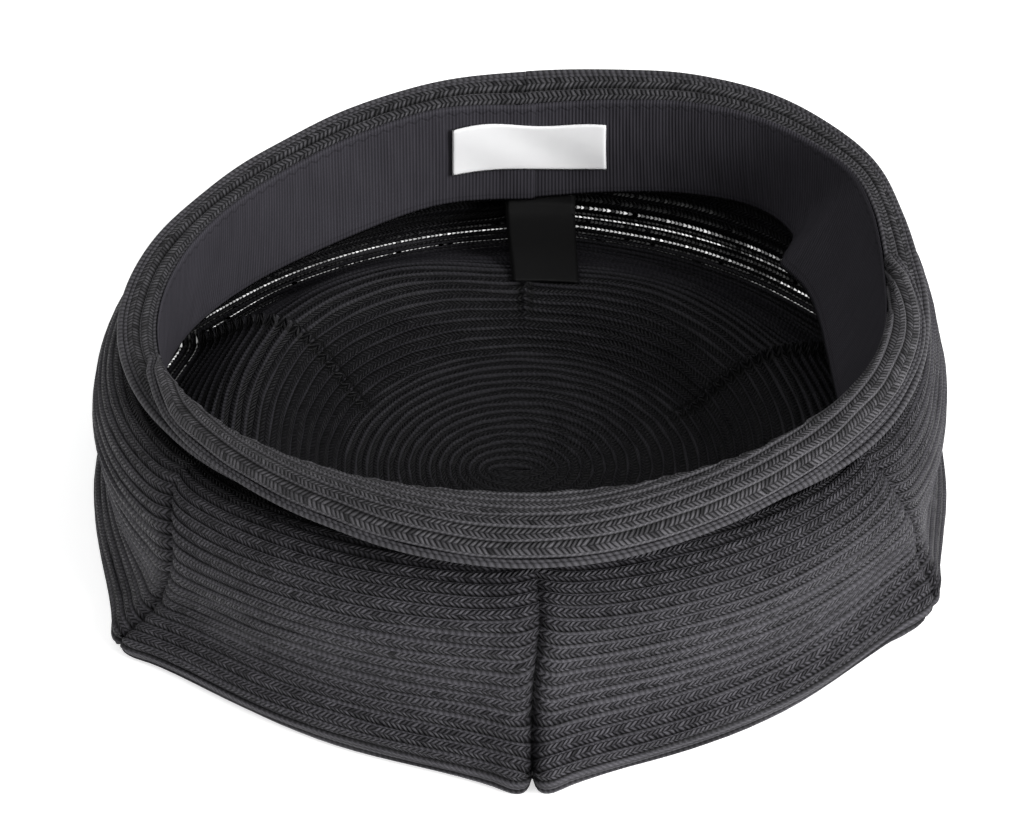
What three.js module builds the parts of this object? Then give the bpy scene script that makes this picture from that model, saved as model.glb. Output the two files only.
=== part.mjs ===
import * as THREE from "three";
import { mergeVertices } from "three/addons/utils/BufferGeometryUtils.js";

// A baker-boy summer cap of sewn straw braid, lying upside down on its crown with the opening up.
// Six darts gather the full crown, a narrow flared edge runs round the head opening, a short
// turned-over peak is sewn on it at the front, and a ribbon sweatband hangs inside.
// Millimetres, +Z up, the peak towards -Y. Angles are degrees round Z, from the front towards +X.

const FLAT_RADIUS = 48;
const TIP_EDGE_ROUND = 4;
const CROWN_WALL = 1.8;
const NECK_GAP = 0.2;

// The corner that each dart pushes out: its direction, how far it reaches, where the dart starts
// on the tip, how deep its groove is at the corner, and how high the tip stands off the floor.
const DARTS = [
  { angle: -119, reach: 118, start: 46, groove: 3.2, dome: 19 },
  { angle: -53, reach: 124.5, start: 60, groove: 3, dome: 5 },
  { angle: 0.9, reach: 126, start: 60, groove: 3.6, dome: 0 },
  { angle: 53.5, reach: 121.5, start: 60, groove: 3, dome: 3 },
  { angle: 118, reach: 117, start: 40, groove: 3.2, dome: 10 },
  { angle: 180, reach: 117, start: 57, groove: 3, dome: 9.5 },
];
const DART_STEPS = [1, 2.4, 6, 12];
const PANEL_STEP = 12;
const CORNER_SPREAD = 7;
const GROOVE_HALF_WIDTH = 1.6;
const DOME_SKEW = 0.8;

// The middle of each panel between two darts: how far it reaches at the floor, and how high the
// loose tip stands off the floor there.
const PANELS = [
  { angle: -150, reach: 112, dome: 17 },
  { angle: -86, reach: 111.5, dome: 14 },
  { angle: -26, reach: 117, dome: 5 },
  { angle: 27, reach: 114.8, dome: 5 },
  { angle: 86, reach: 108.5, dome: 9 },
  { angle: 150, reach: 111, dome: 12 },
];
const DOMES = [...DARTS.slice(0, -1), ...PANELS, { ...DARTS[DARTS.length - 1], angle: -180 }];
DOMES.sort((a, b) => a.angle - b.angle);

// The side wall from the floor to the neck: height as a share of the neck's, how far it is drawn
// in from the panel's reach, how much of the darts' corner is left, how far it has turned in to
// the neck, and how much of the groove is left.
const WALL = [
  { height: 0.135, inset: 0.2, corner: 0.95, neck: 0, groove: 1 },
  { height: 0.235, inset: 3.4, corner: 0.72, neck: 0, groove: 0.9 },
  { height: 0.34, inset: 3.8, corner: 0.5, neck: 0, groove: 0.8 },
  { height: 0.48, inset: 2.4, corner: 0.4, neck: 0, groove: 0.7 },
  { height: 0.63, inset: 1.4, corner: 0.26, neck: 0, groove: 0.6 },
  { height: 0.76, inset: 1.4, corner: 0.12, neck: 0.06, groove: 0.45 },
  { height: 0.87, inset: 0, corner: 0, neck: 0.34, groove: 0.25 },
  { height: 0.95, inset: 0, corner: 0, neck: 0.7, groove: 0 },
  { height: 1, inset: 0, corner: 0, neck: 1, groove: 0 },
];

// The head opening: radius and height of the neck where the wall ends, and reach and height of
// the outer cord of the narrow edge that flares from it.
const OPENING = [
  { angle: -180, radius: 94.7, neck: 54.1, reach: 100.2, top: 59.8 },
  { angle: -165, radius: 94.8, neck: 54.3, reach: 100.2, top: 57.7 },
  { angle: -150, radius: 95, neck: 51.5, reach: 100.2, top: 54.3 },
  { angle: -135, radius: 95.2, neck: 48.9, reach: 100.2, top: 51.3 },
  { angle: -120, radius: 95.2, neck: 48.2, reach: 100.6, top: 50.1 },
  { angle: -105, radius: 95.2, neck: 48.2, reach: 101, top: 49.5 },
  { angle: -90, radius: 95.2, neck: 48.4, reach: 101.2, top: 49.1 },
  { angle: -75, radius: 94.8, neck: 49.4, reach: 100.4, top: 49.9 },
  { angle: -58, radius: 94.2, neck: 52, reach: 99.4, top: 52.3 },
  { angle: -30, radius: 93.7, neck: 57, reach: 100.2, top: 57.5 },
  { angle: 0, radius: 94, neck: 59.5, reach: 101.2, top: 59.7 },
  { angle: 30, radius: 93.6, neck: 58.6, reach: 100.7, top: 57.5 },
  { angle: 58, radius: 93, neck: 56.4, reach: 101.2, top: 53.7 },
  { angle: 75, radius: 92.8, neck: 56.2, reach: 101.4, top: 53.9 },
  { angle: 90, radius: 93, neck: 57, reach: 101, top: 55.7 },
  { angle: 98, radius: 94, neck: 58.6, reach: 100.8, top: 57.3 },
  { angle: 107, radius: 96, neck: 61.4, reach: 102.2, top: 59.3 },
  { angle: 117, radius: 98.6, neck: 62.6, reach: 104.4, top: 62.3 },
  { angle: 127, radius: 99, neck: 62.4, reach: 105, top: 63.7 },
  { angle: 138, radius: 98.2, neck: 62.4, reach: 104.2, top: 64.5 },
  { angle: 150, radius: 96.8, neck: 60.8, reach: 102.8, top: 64.1 },
  { angle: 165, radius: 95.5, neck: 57, reach: 101.2, top: 61.6 },
];
const EDGE_WALL = 1.8;
const EDGE_SEAM_RISE = 1.3;
const EDGE_CORD_RADIUS = 1.25;
const EDGE_BOW = 0.5;

// The peak: height of its inner fold above the opening, reach and height of its outer cord, and
// how far its back arches above the straight line between them.
const PEAK = [
  { angle: -75, fold: 54.4, reach: 95.8, drop: 54.6, arch: 0 },
  { angle: -70, fold: 55.8, reach: 98, drop: 55.6, arch: 0.4 },
  { angle: -58, fold: 58.4, reach: 101, drop: 56.4, arch: 1.6 },
  { angle: -40, fold: 61.4, reach: 104.6, drop: 59.4, arch: 2.6 },
  { angle: -24, fold: 63.6, reach: 109, drop: 61.2, arch: 3.4 },
  { angle: -12, fold: 65, reach: 113, drop: 61.8, arch: 3.8 },
  { angle: 0, fold: 65.6, reach: 114.8, drop: 61.9, arch: 4 },
  { angle: 10, fold: 65.4, reach: 113.4, drop: 61.7, arch: 3.9 },
  { angle: 21, fold: 65.4, reach: 109, drop: 60.6, arch: 3.4 },
  { angle: 33, fold: 65, reach: 104.8, drop: 59.4, arch: 2.8 },
  { angle: 48, fold: 64.2, reach: 102.2, drop: 58.6, arch: 2.2 },
  { angle: 65, fold: 63, reach: 101.2, drop: 58.2, arch: 1.6 },
  { angle: 78, fold: 62.4, reach: 100.4, drop: 58.8, arch: 1.2 },
  { angle: 90, fold: 62.4, reach: 97.2, drop: 60.6, arch: 0.6 },
  { angle: 97, fold: 62.6, reach: 94.8, drop: 62.4, arch: 0 },
];
const PEAK_WALL = 1.5;
const PEAK_ROOT_INSET = 1.4;
const PEAK_ROOT_RISE = 2.4;
const PEAK_MIN_STAND = 0.8;
const PEAK_FOLD_SET = 0.7;
const PEAK_ARCH_SKEW = 1.25;
const PEAK_CORD_RADIUS = 1.1;

// The sweatband: how far its loose lower edge leans in (minus) or out from its top.
const SWEATBAND = [
  { angle: -180, lean: 2.6 },
  { angle: -165, lean: 1.4 },
  { angle: -147, lean: 0.6 },
  { angle: -130, lean: 3 },
  { angle: -110, lean: 5 },
  { angle: -90, lean: 3 },
  { angle: -60, lean: 0 },
  { angle: 0, lean: -3 },
  { angle: 50, lean: -6 },
  { angle: 85, lean: -10 },
  { angle: 102, lean: -12.5 },
  { angle: 117, lean: -12 },
  { angle: 125, lean: -8.5 },
  { angle: 132, lean: 1 },
  { angle: 140, lean: 5 },
  { angle: 152, lean: 4.6 },
  { angle: 166, lean: 3.6 },
];
const RIBBON_WIDTH = 33;
const RIBBON_WALL = 1;
const RIBBON_INSET = 2.2;
const RIBBON_RISE = 0.9;
const RIBBON_CURL = 1.8;

const LABEL_WALL = 1;
const LABEL_GAP = 0.72;
const SIZE_LABEL = { from: 166, to: 193, top: 50, height: 15.5 };
const CARE_LABEL = { from: 171.5, to: 183.5 };

// The care label's middle line from under the sweatband down to its fold on the tip.
const CARE_LABEL_LINE = [
  { radius: 95.6, height: 46 },
  { radius: 97.3, height: 24 },
  { radius: 95.2, height: 18.8 },
  { radius: 88, height: 15.6 },
  { radius: 79, height: 13.8 },
  { radius: 70, height: 12.2 },
];

const STRAW = new THREE.Color(0x2b2b2d);
const GROSGRAIN = new THREE.Color(0x2a2a2e);
const WOVEN_WHITE = new THREE.Color(0xf2f2f4);
const BLACK_SATIN = new THREE.Color(0x101012);
const ROUGHNESS = { crown: 0.72, edge: 0.66, ribbon: 0.85, label: 0.7, satin: 0.35 };

const radians = THREE.MathUtils.degToRad;

// Shortest way round from one direction to another, in degrees.
function turn(from, to) {
  return ((((to - from + 180) % 360) + 360) % 360) - 180;
}

function catmullRom(p0, p1, p2, p3, t) {
  const a = 2 * p1;
  const b = p2 - p0;
  const c = 2 * p0 - 5 * p1 + 4 * p2 - p3;
  const d = 3 * p1 - p0 - 3 * p2 + p3;
  return 0.5 * (a + t * (b + t * (c + t * d)));
}

// A column of a table at any direction. A closed table runs on past 180 degrees.
function atAngle(table, angle, column, closed = true) {
  const count = table.length;
  const row = (i) => (closed ? table[(i + count) % count] : table[Math.min(Math.max(i, 0), count - 1)]);
  let found = closed ? count - 1 : 0;
  for (let i = 0; i < count - 1; i += 1) {
    if (angle >= table[i].angle && angle <= table[i + 1].angle) {
      found = i;
    }
  }
  const start = row(found);
  const end = row(found + 1);
  const span = closed ? turn(start.angle, end.angle) : end.angle - start.angle;
  const t = THREE.MathUtils.clamp(turn(start.angle, angle) / span, 0, 1);
  return catmullRom(row(found - 1)[column], start[column], end[column], row(found + 2)[column], t);
}

function nearestDart(angle) {
  let best = DARTS[0];
  for (const dart of DARTS) {
    if (Math.abs(turn(dart.angle, angle)) < Math.abs(turn(best.angle, angle))) {
      best = dart;
    }
  }
  return best;
}

// The same line pushed sideways by a wall, to the left of the way it runs.
function pushed(line, wall) {
  return line.map((point, i) => {
    const before = line[Math.max(i - 1, 0)];
    const after = line[Math.min(i + 1, line.length - 1)];
    const along = new THREE.Vector2().subVectors(after, before).normalize();
    return new THREE.Vector2(point.x - along.y * wall, point.y + along.x * wall);
  });
}

// The crown's outer face at one direction, from the middle of the tip to the neck.
function crownLine(angle) {
  const dart = nearestDart(angle);
  const away = Math.abs(turn(dart.angle, angle));
  const panel = atAngle(PANELS, angle, "reach");
  const corner = (dart.reach - panel) * Math.exp(-away / CORNER_SPREAD);
  const dome = atAngle(DOMES, angle, "dome");
  const reach = panel + corner;
  const neck = atAngle(OPENING, angle, "neck") - NECK_GAP;
  const neckRadius = atAngle(OPENING, angle, "radius");
  const line = [];
  const grooves = [];
  for (const share of [0, 0.5, 1]) {
    line.push(new THREE.Vector2(FLAT_RADIUS * share, 0));
    grooves.push(0);
  }
  const tipEnd = reach - TIP_EDGE_ROUND;
  for (const share of [0.15, 0.3, 0.45, 0.6, 0.75, 0.9, 1]) {
    const radius = THREE.MathUtils.lerp(FLAT_RADIUS, tipEnd, share);
    line.push(new THREE.Vector2(radius, dome * Math.sin(Math.PI * share ** DOME_SKEW) ** 2));
    grooves.push(THREE.MathUtils.clamp((radius - dart.start) / (tipEnd - dart.start), 0, 1));
  }
  for (const bend of [45, 90].map(radians)) {
    const x = tipEnd + TIP_EDGE_ROUND * Math.sin(bend);
    line.push(new THREE.Vector2(x, TIP_EDGE_ROUND * (1 - Math.cos(bend))));
    grooves.push(1);
  }
  for (const row of WALL) {
    const body = panel + corner * row.corner - row.inset;
    line.push(new THREE.Vector2(THREE.MathUtils.lerp(body, neckRadius, row.neck), row.height * neck));
    grooves.push(row.groove);
  }
  const offset = (radians(away) * reach) / GROOVE_HALF_WIDTH;
  const pinch = dart.groove * Math.exp(-(offset ** 2));
  const inward = pushed(line, 1);
  return line.map((point, i) => point.clone().lerp(inward[i], pinch * grooves[i]));
}

function crownSection(angle) {
  const outer = crownLine(angle);
  const inner = pushed(outer, CROWN_WALL);
  inner[0].set(0, CROWN_WALL);
  return { outer, inner };
}

// A thin section that ends in a round cord: the line's two faces and a ring round its last point.
function cordedSection(line, wall, cordRadius) {
  const outer = pushed(line, -wall / 2);
  const inner = pushed(line, wall / 2);
  const end = line[line.length - 1];
  const along = new THREE.Vector2().subVectors(end, line[line.length - 2]).normalize();
  const heading = Math.atan2(along.y, along.x);
  const onCord = (bend) => {
    const spoke = new THREE.Vector2(cordRadius, 0);
    return spoke.rotateAround(new THREE.Vector2(), heading + radians(bend)).add(end);
  };
  outer.splice(-1, 1, onCord(-120), onCord(-60), onCord(0));
  inner.splice(-1, 1, onCord(120), onCord(60));
  return { outer, inner };
}

function edgeSection(angle) {
  const start = new THREE.Vector2(atAngle(OPENING, angle, "radius"), atAngle(OPENING, angle, "neck"));
  const reach = atAngle(OPENING, angle, "reach");
  const top = atAngle(OPENING, angle, "top");
  const line = [0, 0.3, 0.65, 1].map((share) => {
    const bow = EDGE_BOW * Math.sin(Math.PI * share);
    const x = THREE.MathUtils.lerp(start.x, reach, share);
    const y = THREE.MathUtils.lerp(start.y + EDGE_SEAM_RISE, top, share);
    return new THREE.Vector2(x - bow, y + bow);
  });
  return cordedSection(line, EDGE_WALL, EDGE_CORD_RADIUS);
}

function peakSection(angle) {
  const root = atAngle(OPENING, angle, "neck") + PEAK_ROOT_RISE;
  const fold = Math.max(atAngle(PEAK, angle, "fold", false), root + PEAK_MIN_STAND);
  const reach = atAngle(PEAK, angle, "reach", false);
  const drop = atAngle(PEAK, angle, "drop", false);
  const arch = atAngle(PEAK, angle, "arch", false);
  const rootRadius = atAngle(OPENING, angle, "radius") - PEAK_ROOT_INSET;
  const line = [new THREE.Vector2(rootRadius, root)];
  line.push(new THREE.Vector2(rootRadius + 0.2, THREE.MathUtils.lerp(root, fold, 0.75)));
  const start = rootRadius + PEAK_FOLD_SET;
  for (const share of [0, 0.2, 0.45, 0.7, 1]) {
    const rise = arch * Math.sin(Math.PI * share ** PEAK_ARCH_SKEW);
    const x = THREE.MathUtils.lerp(start, reach, share);
    line.push(new THREE.Vector2(x, THREE.MathUtils.lerp(fold, drop, share) + rise));
  }
  return cordedSection(line, PEAK_WALL, PEAK_CORD_RADIUS);
}

// The sweatband's outer face at one direction and a share of its width from the top.
function ribbonPoint(angle, share) {
  const top = atAngle(OPENING, angle, "neck") + RIBBON_RISE;
  const radius = atAngle(OPENING, angle, "radius") - RIBBON_INSET;
  const lean = atAngle(SWEATBAND, angle, "lean");
  return new THREE.Vector2(radius + lean * share ** RIBBON_CURL, top - RIBBON_WIDTH * share);
}

function sweatbandSection(angle) {
  const outer = [1, 0.75, 0.5, 0.25, 0].map((share) => ribbonPoint(angle, share));
  return { outer, inner: pushed(outer, RIBBON_WALL) };
}

function sizeLabelSection(angle) {
  const ribbonTop = atAngle(OPENING, angle, "neck") + RIBBON_RISE;
  const outer = [1, 0.5, 0].map((share) => {
    const height = SIZE_LABEL.top - SIZE_LABEL.height * share;
    const face = ribbonPoint(angle, (ribbonTop - height) / RIBBON_WIDTH);
    return new THREE.Vector2(face.x - RIBBON_WALL - LABEL_GAP, height);
  });
  return { outer, inner: pushed(outer, LABEL_WALL) };
}

function careLabelSection() {
  const line = CARE_LABEL_LINE.map((row) => new THREE.Vector2(row.radius, row.height));
  return { outer: pushed(line, -LABEL_WALL / 2), inner: pushed(line, LABEL_WALL / 2) };
}

// Carries a section round Z. A whole turn closes on itself, and a shorter one gets flat ends.
function sweep(sectionAt, angles, whole) {
  const positions = [];
  const index = [];
  const rings = angles.map((angle) => {
    const { outer, inner } = sectionAt(angle);
    return [...outer, ...inner.reverse()].map((point) => {
      const x = point.x * Math.sin(radians(angle));
      return [x, -point.x * Math.cos(radians(angle)), point.y];
    });
  });
  rings.forEach((ring) => positions.push(...ring.flat()));
  const size = rings[0].length;
  const steps = whole ? rings.length : rings.length - 1;
  for (let i = 0; i < steps; i += 1) {
    const here = i * size;
    const next = ((i + 1) % rings.length) * size;
    for (let j = 0; j < size; j += 1) {
      const k = (j + 1) % size;
      index.push(here + j, next + j, next + k);
      index.push(here + j, next + k, here + k);
    }
  }
  if (!whole) {
    const half = sectionAt(angles[0]).outer.length;
    const first = endFaces(half, size);
    index.push(...first.flat());
    index.push(...first.flatMap(([a, b, c]) => [steps * size + a, steps * size + c, steps * size + b]));
  }
  return closedGeometry(positions, index);
}

// A flat end: a strip of faces between the section's two long sides, from its first corners on.
function endFaces(half, size) {
  const faces = [];
  let left = 0;
  let right = size - 1;
  while (right - left > 1) {
    const evenWithLeft = size - 1 - right >= left || right === half;
    if (evenWithLeft && left + 1 < half) {
      faces.push([left, left + 1, right]);
      left += 1;
    } else {
      faces.push([left, right - 1, right]);
      right -= 1;
    }
  }
  return faces;
}

// One closed body: equal points are merged and faces without area are dropped.
function closedGeometry(positions, index) {
  const loose = new THREE.BufferGeometry();
  loose.setAttribute("position", new THREE.Float32BufferAttribute(positions, 3));
  loose.setIndex(index);
  const merged = mergeVertices(loose, 1e-3);
  const corners = merged.index.array;
  const kept = [];
  for (let i = 0; i < corners.length; i += 3) {
    const [a, b, c] = [corners[i], corners[i + 1], corners[i + 2]];
    if (a !== b && b !== c && c !== a) {
      kept.push(a, b, c);
    }
  }
  merged.setIndex(kept);
  merged.computeVertexNormals();
  return merged;
}

// Directions for the crown: close together at each dart, wider over the panels.
function crownAngles() {
  const angles = [];
  const [widest] = DART_STEPS.slice(-1);
  DARTS.forEach((dart, i) => {
    const next = DARTS[(i + 1) % DARTS.length];
    const panel = (next.angle - dart.angle + 360) % 360;
    const middle = panel - 2 * widest;
    const parts = Math.round(middle / PANEL_STEP);
    angles.push(dart.angle);
    for (const step of DART_STEPS) {
      angles.push(dart.angle + step, dart.angle + panel - step);
    }
    for (let j = 1; j < parts; j += 1) {
      angles.push(dart.angle + widest + (middle * j) / parts);
    }
  });
  return angles.map((angle) => turn(0, angle)).sort((a, b) => a - b);
}

function evenAngles(from, to, steps) {
  return Array.from({ length: steps + 1 }, (_, i) => from + ((to - from) * i) / steps);
}

function piece(name, geometry, color, roughness) {
  const material = new THREE.MeshStandardMaterial({ color, roughness, metalness: 0 });
  const mesh = new THREE.Mesh(geometry, material);
  mesh.name = name;
  return mesh;
}

const roundTurn = evenAngles(-180, 174, 59);
const peakTurn = evenAngles(PEAK[0].angle, PEAK[PEAK.length - 1].angle, 36);
const sizeLabelTurn = evenAngles(SIZE_LABEL.from, SIZE_LABEL.to, 5);
const careLabelTurn = evenAngles(CARE_LABEL.from, CARE_LABEL.to, 3);

const cap = new THREE.Group();
cap.add(piece("crown", sweep(crownSection, crownAngles(), true), STRAW, ROUGHNESS.crown));
cap.add(piece("brim_edge", sweep(edgeSection, roundTurn, true), STRAW, ROUGHNESS.edge));
cap.add(piece("peak", sweep(peakSection, peakTurn, false), STRAW, ROUGHNESS.edge));
cap.add(piece("sweatband", sweep(sweatbandSection, roundTurn, true), GROSGRAIN, ROUGHNESS.ribbon));
cap.add(piece("size_label", sweep(sizeLabelSection, sizeLabelTurn, false), WOVEN_WHITE, ROUGHNESS.label));
cap.add(piece("care_label", sweep(careLabelSection, careLabelTurn, false), BLACK_SATIN, ROUGHNESS.satin));

// The origin is under the middle of the whole cap, on the surface that it rests on.
const middle = new THREE.Box3().setFromObject(cap).getCenter(new THREE.Vector3());
cap.position.set(-middle.x, -middle.y, 0);

const group = new THREE.Group();
group.add(cap);

export default group;
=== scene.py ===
"""A baker-boy summer cap of sewn black straw braid, lying upside down on its crown on a pale floor.

The crown is one long braid that winds out from the middle of the tip, gathered by six darts. A narrow
edge of bold braid flares round the head opening, a short peak turns over at the front, and a ribbon
sweatband with two labels hangs inside. Lengths in the tables are millimetres and angles are degrees
round Z, from the front (-Y) towards +X.
"""

from __future__ import annotations

import logging
import math
from dataclasses import dataclass, field
from enum import Enum
from typing import Sequence

import bpy
import numpy as np
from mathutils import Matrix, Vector


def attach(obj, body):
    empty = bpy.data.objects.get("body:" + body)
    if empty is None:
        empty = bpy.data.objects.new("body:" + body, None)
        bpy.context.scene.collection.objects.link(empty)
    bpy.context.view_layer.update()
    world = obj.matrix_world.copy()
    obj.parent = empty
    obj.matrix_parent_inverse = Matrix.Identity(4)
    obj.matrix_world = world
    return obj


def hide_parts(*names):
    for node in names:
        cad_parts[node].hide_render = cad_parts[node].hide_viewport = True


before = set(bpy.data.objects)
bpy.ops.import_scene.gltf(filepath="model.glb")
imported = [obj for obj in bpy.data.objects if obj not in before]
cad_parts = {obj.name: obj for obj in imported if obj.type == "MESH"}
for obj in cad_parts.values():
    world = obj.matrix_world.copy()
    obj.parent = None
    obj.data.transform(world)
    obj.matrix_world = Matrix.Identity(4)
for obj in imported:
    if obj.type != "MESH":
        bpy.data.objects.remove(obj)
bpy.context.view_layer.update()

LOG = logging.getLogger("summer_cap")
MM = 0.001
WELD = 0.02 * MM

# Where the crown's own middle stands in the frame, in millimetres.
CROWN_MIDDLE = (1.382, 4.256)

Colour = tuple[float, float, float]


# The cap's shape

@dataclass(frozen=True)
class Dart:
    """A dart of the crown: the corner that it pushes out and how far its groove runs.

    Attributes:
        angle: Its direction.
        reach: How far its corner reaches at the floor.
        start: Radius on the tip where it begins.
        groove: Depth of its groove at the corner.
        dome: How high the loose tip stands off the floor along it.
        sway: How far its groove swings round Z, at most.
        sway_at: Where on the wall it swings most, as a share of the way up.
    """

    angle: float
    reach: float
    start: float
    groove: float
    dome: float
    sway: float = 0
    sway_at: float = 0.5


@dataclass(frozen=True)
class Panel:
    """The middle of a crown panel between two darts: its direction, reach at the floor and dome."""

    angle: float
    reach: float
    dome: float


@dataclass(frozen=True)
class WallStop:
    """One height of the side wall.

    Attributes:
        height: Share of the neck's height.
        inset: How far the wall is drawn in from the panel's reach.
        corner: How much of the darts' corner is left.
        neck: How far it has turned in to the neck.
        groove: How much of the darts' groove is left.
    """

    height: float
    inset: float
    corner: float
    neck: float
    groove: float


@dataclass(frozen=True)
class OpeningStop:
    """The head opening at one direction: the neck's radius and height, the edge's reach and top."""

    angle: float
    radius: float
    neck: float
    reach: float
    top: float


@dataclass(frozen=True)
class PeakStop:
    """The peak at one direction: its inner fold's height, its cord's reach and height, its arch."""

    angle: float
    fold: float
    reach: float
    drop: float
    arch: float


@dataclass(frozen=True)
class BandStop:
    """The sweatband at one direction: how far its loose lower edge leans out from its top."""

    angle: float
    lean: float


@dataclass(frozen=True)
class DipStop:
    """How deep the crown sinks in beside the neck at one direction."""

    angle: float
    depth: float


DARTS = (
    Dart(-119, 114.8, 46, 2.6, 19), Dart(-53, 126, 60, 2, 5, 6.4, 0.48),
    Dart(0.9, 127.2, 60, 3.6, 0, 0.9, 0.6), Dart(53.5, 121.5, 60, 1.7, 3, 5.6, 0.25),
    Dart(118, 113.8, 40, 2.6, 10), Dart(180, 114.4, 57, 2.6, 9.5),
)
PANELS = (
    Panel(-150, 112, 17), Panel(-86, 112.3, 14), Panel(-26, 117, 5),
    Panel(27, 115.6, 5), Panel(86, 109.6, 9), Panel(150, 111, 12),
)
WALL = (
    WallStop(0.135, 0.2, 0.95, 0, 1), WallStop(0.235, 3.4, 0.72, 0, 0.9), WallStop(0.34, 3.8, 0.5, 0, 0.8),
    WallStop(0.48, 2.4, 0.4, 0, 0.7), WallStop(0.63, 1.4, 0.26, 0, 0.6),
    WallStop(0.76, 1.4, 0.12, 0.06, 0.45), WallStop(0.87, 0, 0, 0.34, 0.25),
    WallStop(0.95, 0, 0, 0.7, 0), WallStop(1, 0, 0, 1, 0),
)
OPENING = (
    OpeningStop(-180, 94.7, 54.1, 100.2, 59.8), OpeningStop(-165, 94.8, 54.3, 100.2, 58.3),
    OpeningStop(-150, 95, 51.5, 100.2, 55.1), OpeningStop(-135, 95.2, 48.9, 100.2, 51.9),
    OpeningStop(-120, 95.2, 48.2, 100.6, 50.1), OpeningStop(-105, 95.2, 48.2, 101, 49.5),
    OpeningStop(-90, 95.2, 48.4, 101.2, 49.1), OpeningStop(-75, 94.8, 49.4, 100.4, 49.9),
    OpeningStop(-58, 94.2, 52, 99.4, 52.3), OpeningStop(-30, 93.7, 57, 100.2, 57.5),
    OpeningStop(0, 94, 59.5, 101.2, 59.7), OpeningStop(30, 93.6, 58.6, 100.7, 57.5),
    OpeningStop(58, 93, 56.4, 101.2, 53.7), OpeningStop(75, 92.8, 56.2, 101.4, 53.9),
    OpeningStop(90, 93, 57, 101, 55.7), OpeningStop(98, 94, 58.6, 100.8, 57.3),
    OpeningStop(107, 96, 61.4, 102.2, 59.3), OpeningStop(117, 98.6, 62.6, 104.4, 62.3),
    OpeningStop(127, 99, 62.4, 105, 64), OpeningStop(138, 98.2, 62.4, 104.2, 65.1),
    OpeningStop(150, 96.8, 60.8, 102.8, 64.8), OpeningStop(165, 95.5, 57, 101.2, 62.1),
)
PEAK = (
    PeakStop(-75, 54.4, 95.8, 54.6, 0), PeakStop(-70, 55.8, 98, 55.6, 0.4),
    PeakStop(-58, 58.4, 101, 56.4, 1.6), PeakStop(-40, 61.4, 104.6, 59.4, 2.6),
    PeakStop(-24, 63.6, 109, 61.2, 3.4), PeakStop(-12, 65, 113, 61.8, 3.8),
    PeakStop(0, 65.6, 114.8, 61.9, 4), PeakStop(10, 65.4, 113.4, 61.7, 3.9),
    PeakStop(21, 65.4, 109, 60.6, 3.4), PeakStop(33, 65, 104.8, 59.4, 2.8),
    PeakStop(48, 64.2, 102.2, 58.6, 2.2), PeakStop(65, 63, 101.2, 58.2, 1.6),
    PeakStop(78, 62.4, 100.4, 58.8, 1.2), PeakStop(90, 62, 97.2, 60.2, 0.6),
    PeakStop(97, 61.2, 94.8, 60.8, 0),
)
SWEATBAND = (
    BandStop(-180, 2.6), BandStop(-165, 1.4), BandStop(-147, 0.6), BandStop(-130, 3), BandStop(-110, 5),
    BandStop(-90, 3), BandStop(-60, 0), BandStop(0, -3), BandStop(50, -6), BandStop(85, -10),
    BandStop(102, -12.5), BandStop(117, -12.8), BandStop(125, -12.4), BandStop(127, -10),
    BandStop(131, 0.4), BandStop(140, 5), BandStop(152, 4.6), BandStop(166, 3.6),
)
NECK_DIP = (
    DipStop(-180, 0.8), DipStop(-120, 2.4), DipStop(-85, 6.5), DipStop(-55, 6.5), DipStop(-20, 3.5),
    DipStop(5, 2.2), DipStop(35, 4.4), DipStop(60, 5.5), DipStop(85, 2.6), DipStop(120, 1), DipStop(150, 0.8),
)

# Where each wound row of the side wall begins, as shares of the way from the tip's edge to the neck.
WALL_ROWS = (
    0, 0.045, 0.085, 0.125, 0.165, 0.205, 0.247, 0.293, 0.343, 0.396, 0.45, 0.503, 0.553, 0.598, 0.64,
    0.68, 0.718, 0.756, 0.795, 0.835, 0.873, 0.907, 0.938, 0.969, 1,
)

# How finely the crown is laid out: its columns beside a dart and between darts, in degrees, and the
# points of each part of its line.
NEAR_STEPS = (0.3, 0.6, 0.9, 1.25, 1.7, 2.3, 3.1, 4.2, 5.8)
FAR_STEP = 2.5
SAME_ANGLE = 0.05
FLAT_POINTS = 24
TIP_POINTS = 60
EDGE_POINTS = 9
WALL_POINTS = 80

# Least radius at which the distance from a dart is measured.
GROOVE_RADIUS = 30

# How far round Z a groove's swing spreads, in degrees, and how far up the wall, as a share of it.
SWAY_WIDTH = 15
SWAY_HEIGHT = 0.2

# Least height of the crown above the floor.
FLOOR_GAP = 0.02

# Points across the edge's wall, sides of a cord, and how many columns an open cord narrows over.
LINE_POINTS = 30
CORD_SIDES = 10
CORD_TAPER = 3

# How far the ribbon lies inside its place, and how much longer it is for each degree of its lap.
RIBBON_GAP = 0.15
LAP_LENGTH = 1.6


def turn(start: float | np.ndarray, end: float | np.ndarray) -> float | np.ndarray:
    """Gives the shortest way round from one direction to another, in degrees."""
    return (np.asarray(end) - start + 180) % 360 - 180


def turns_of(angles: np.ndarray) -> np.ndarray:
    """Counts directions in turns, from 0 at the back to 1 at the back again."""
    return (angles + 180) / 360


def bell(away: np.ndarray, width: float) -> np.ndarray:
    """Gives a smooth bump, 1 at its middle, at distances from it."""
    return np.exp(-((away / width) ** 2))


def ramp(way: np.ndarray, width: float | np.ndarray) -> np.ndarray:
    """Rises evenly from 0 to 1 over a width, and is flat before and after."""
    return np.clip(way / width, 0, 1)


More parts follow.
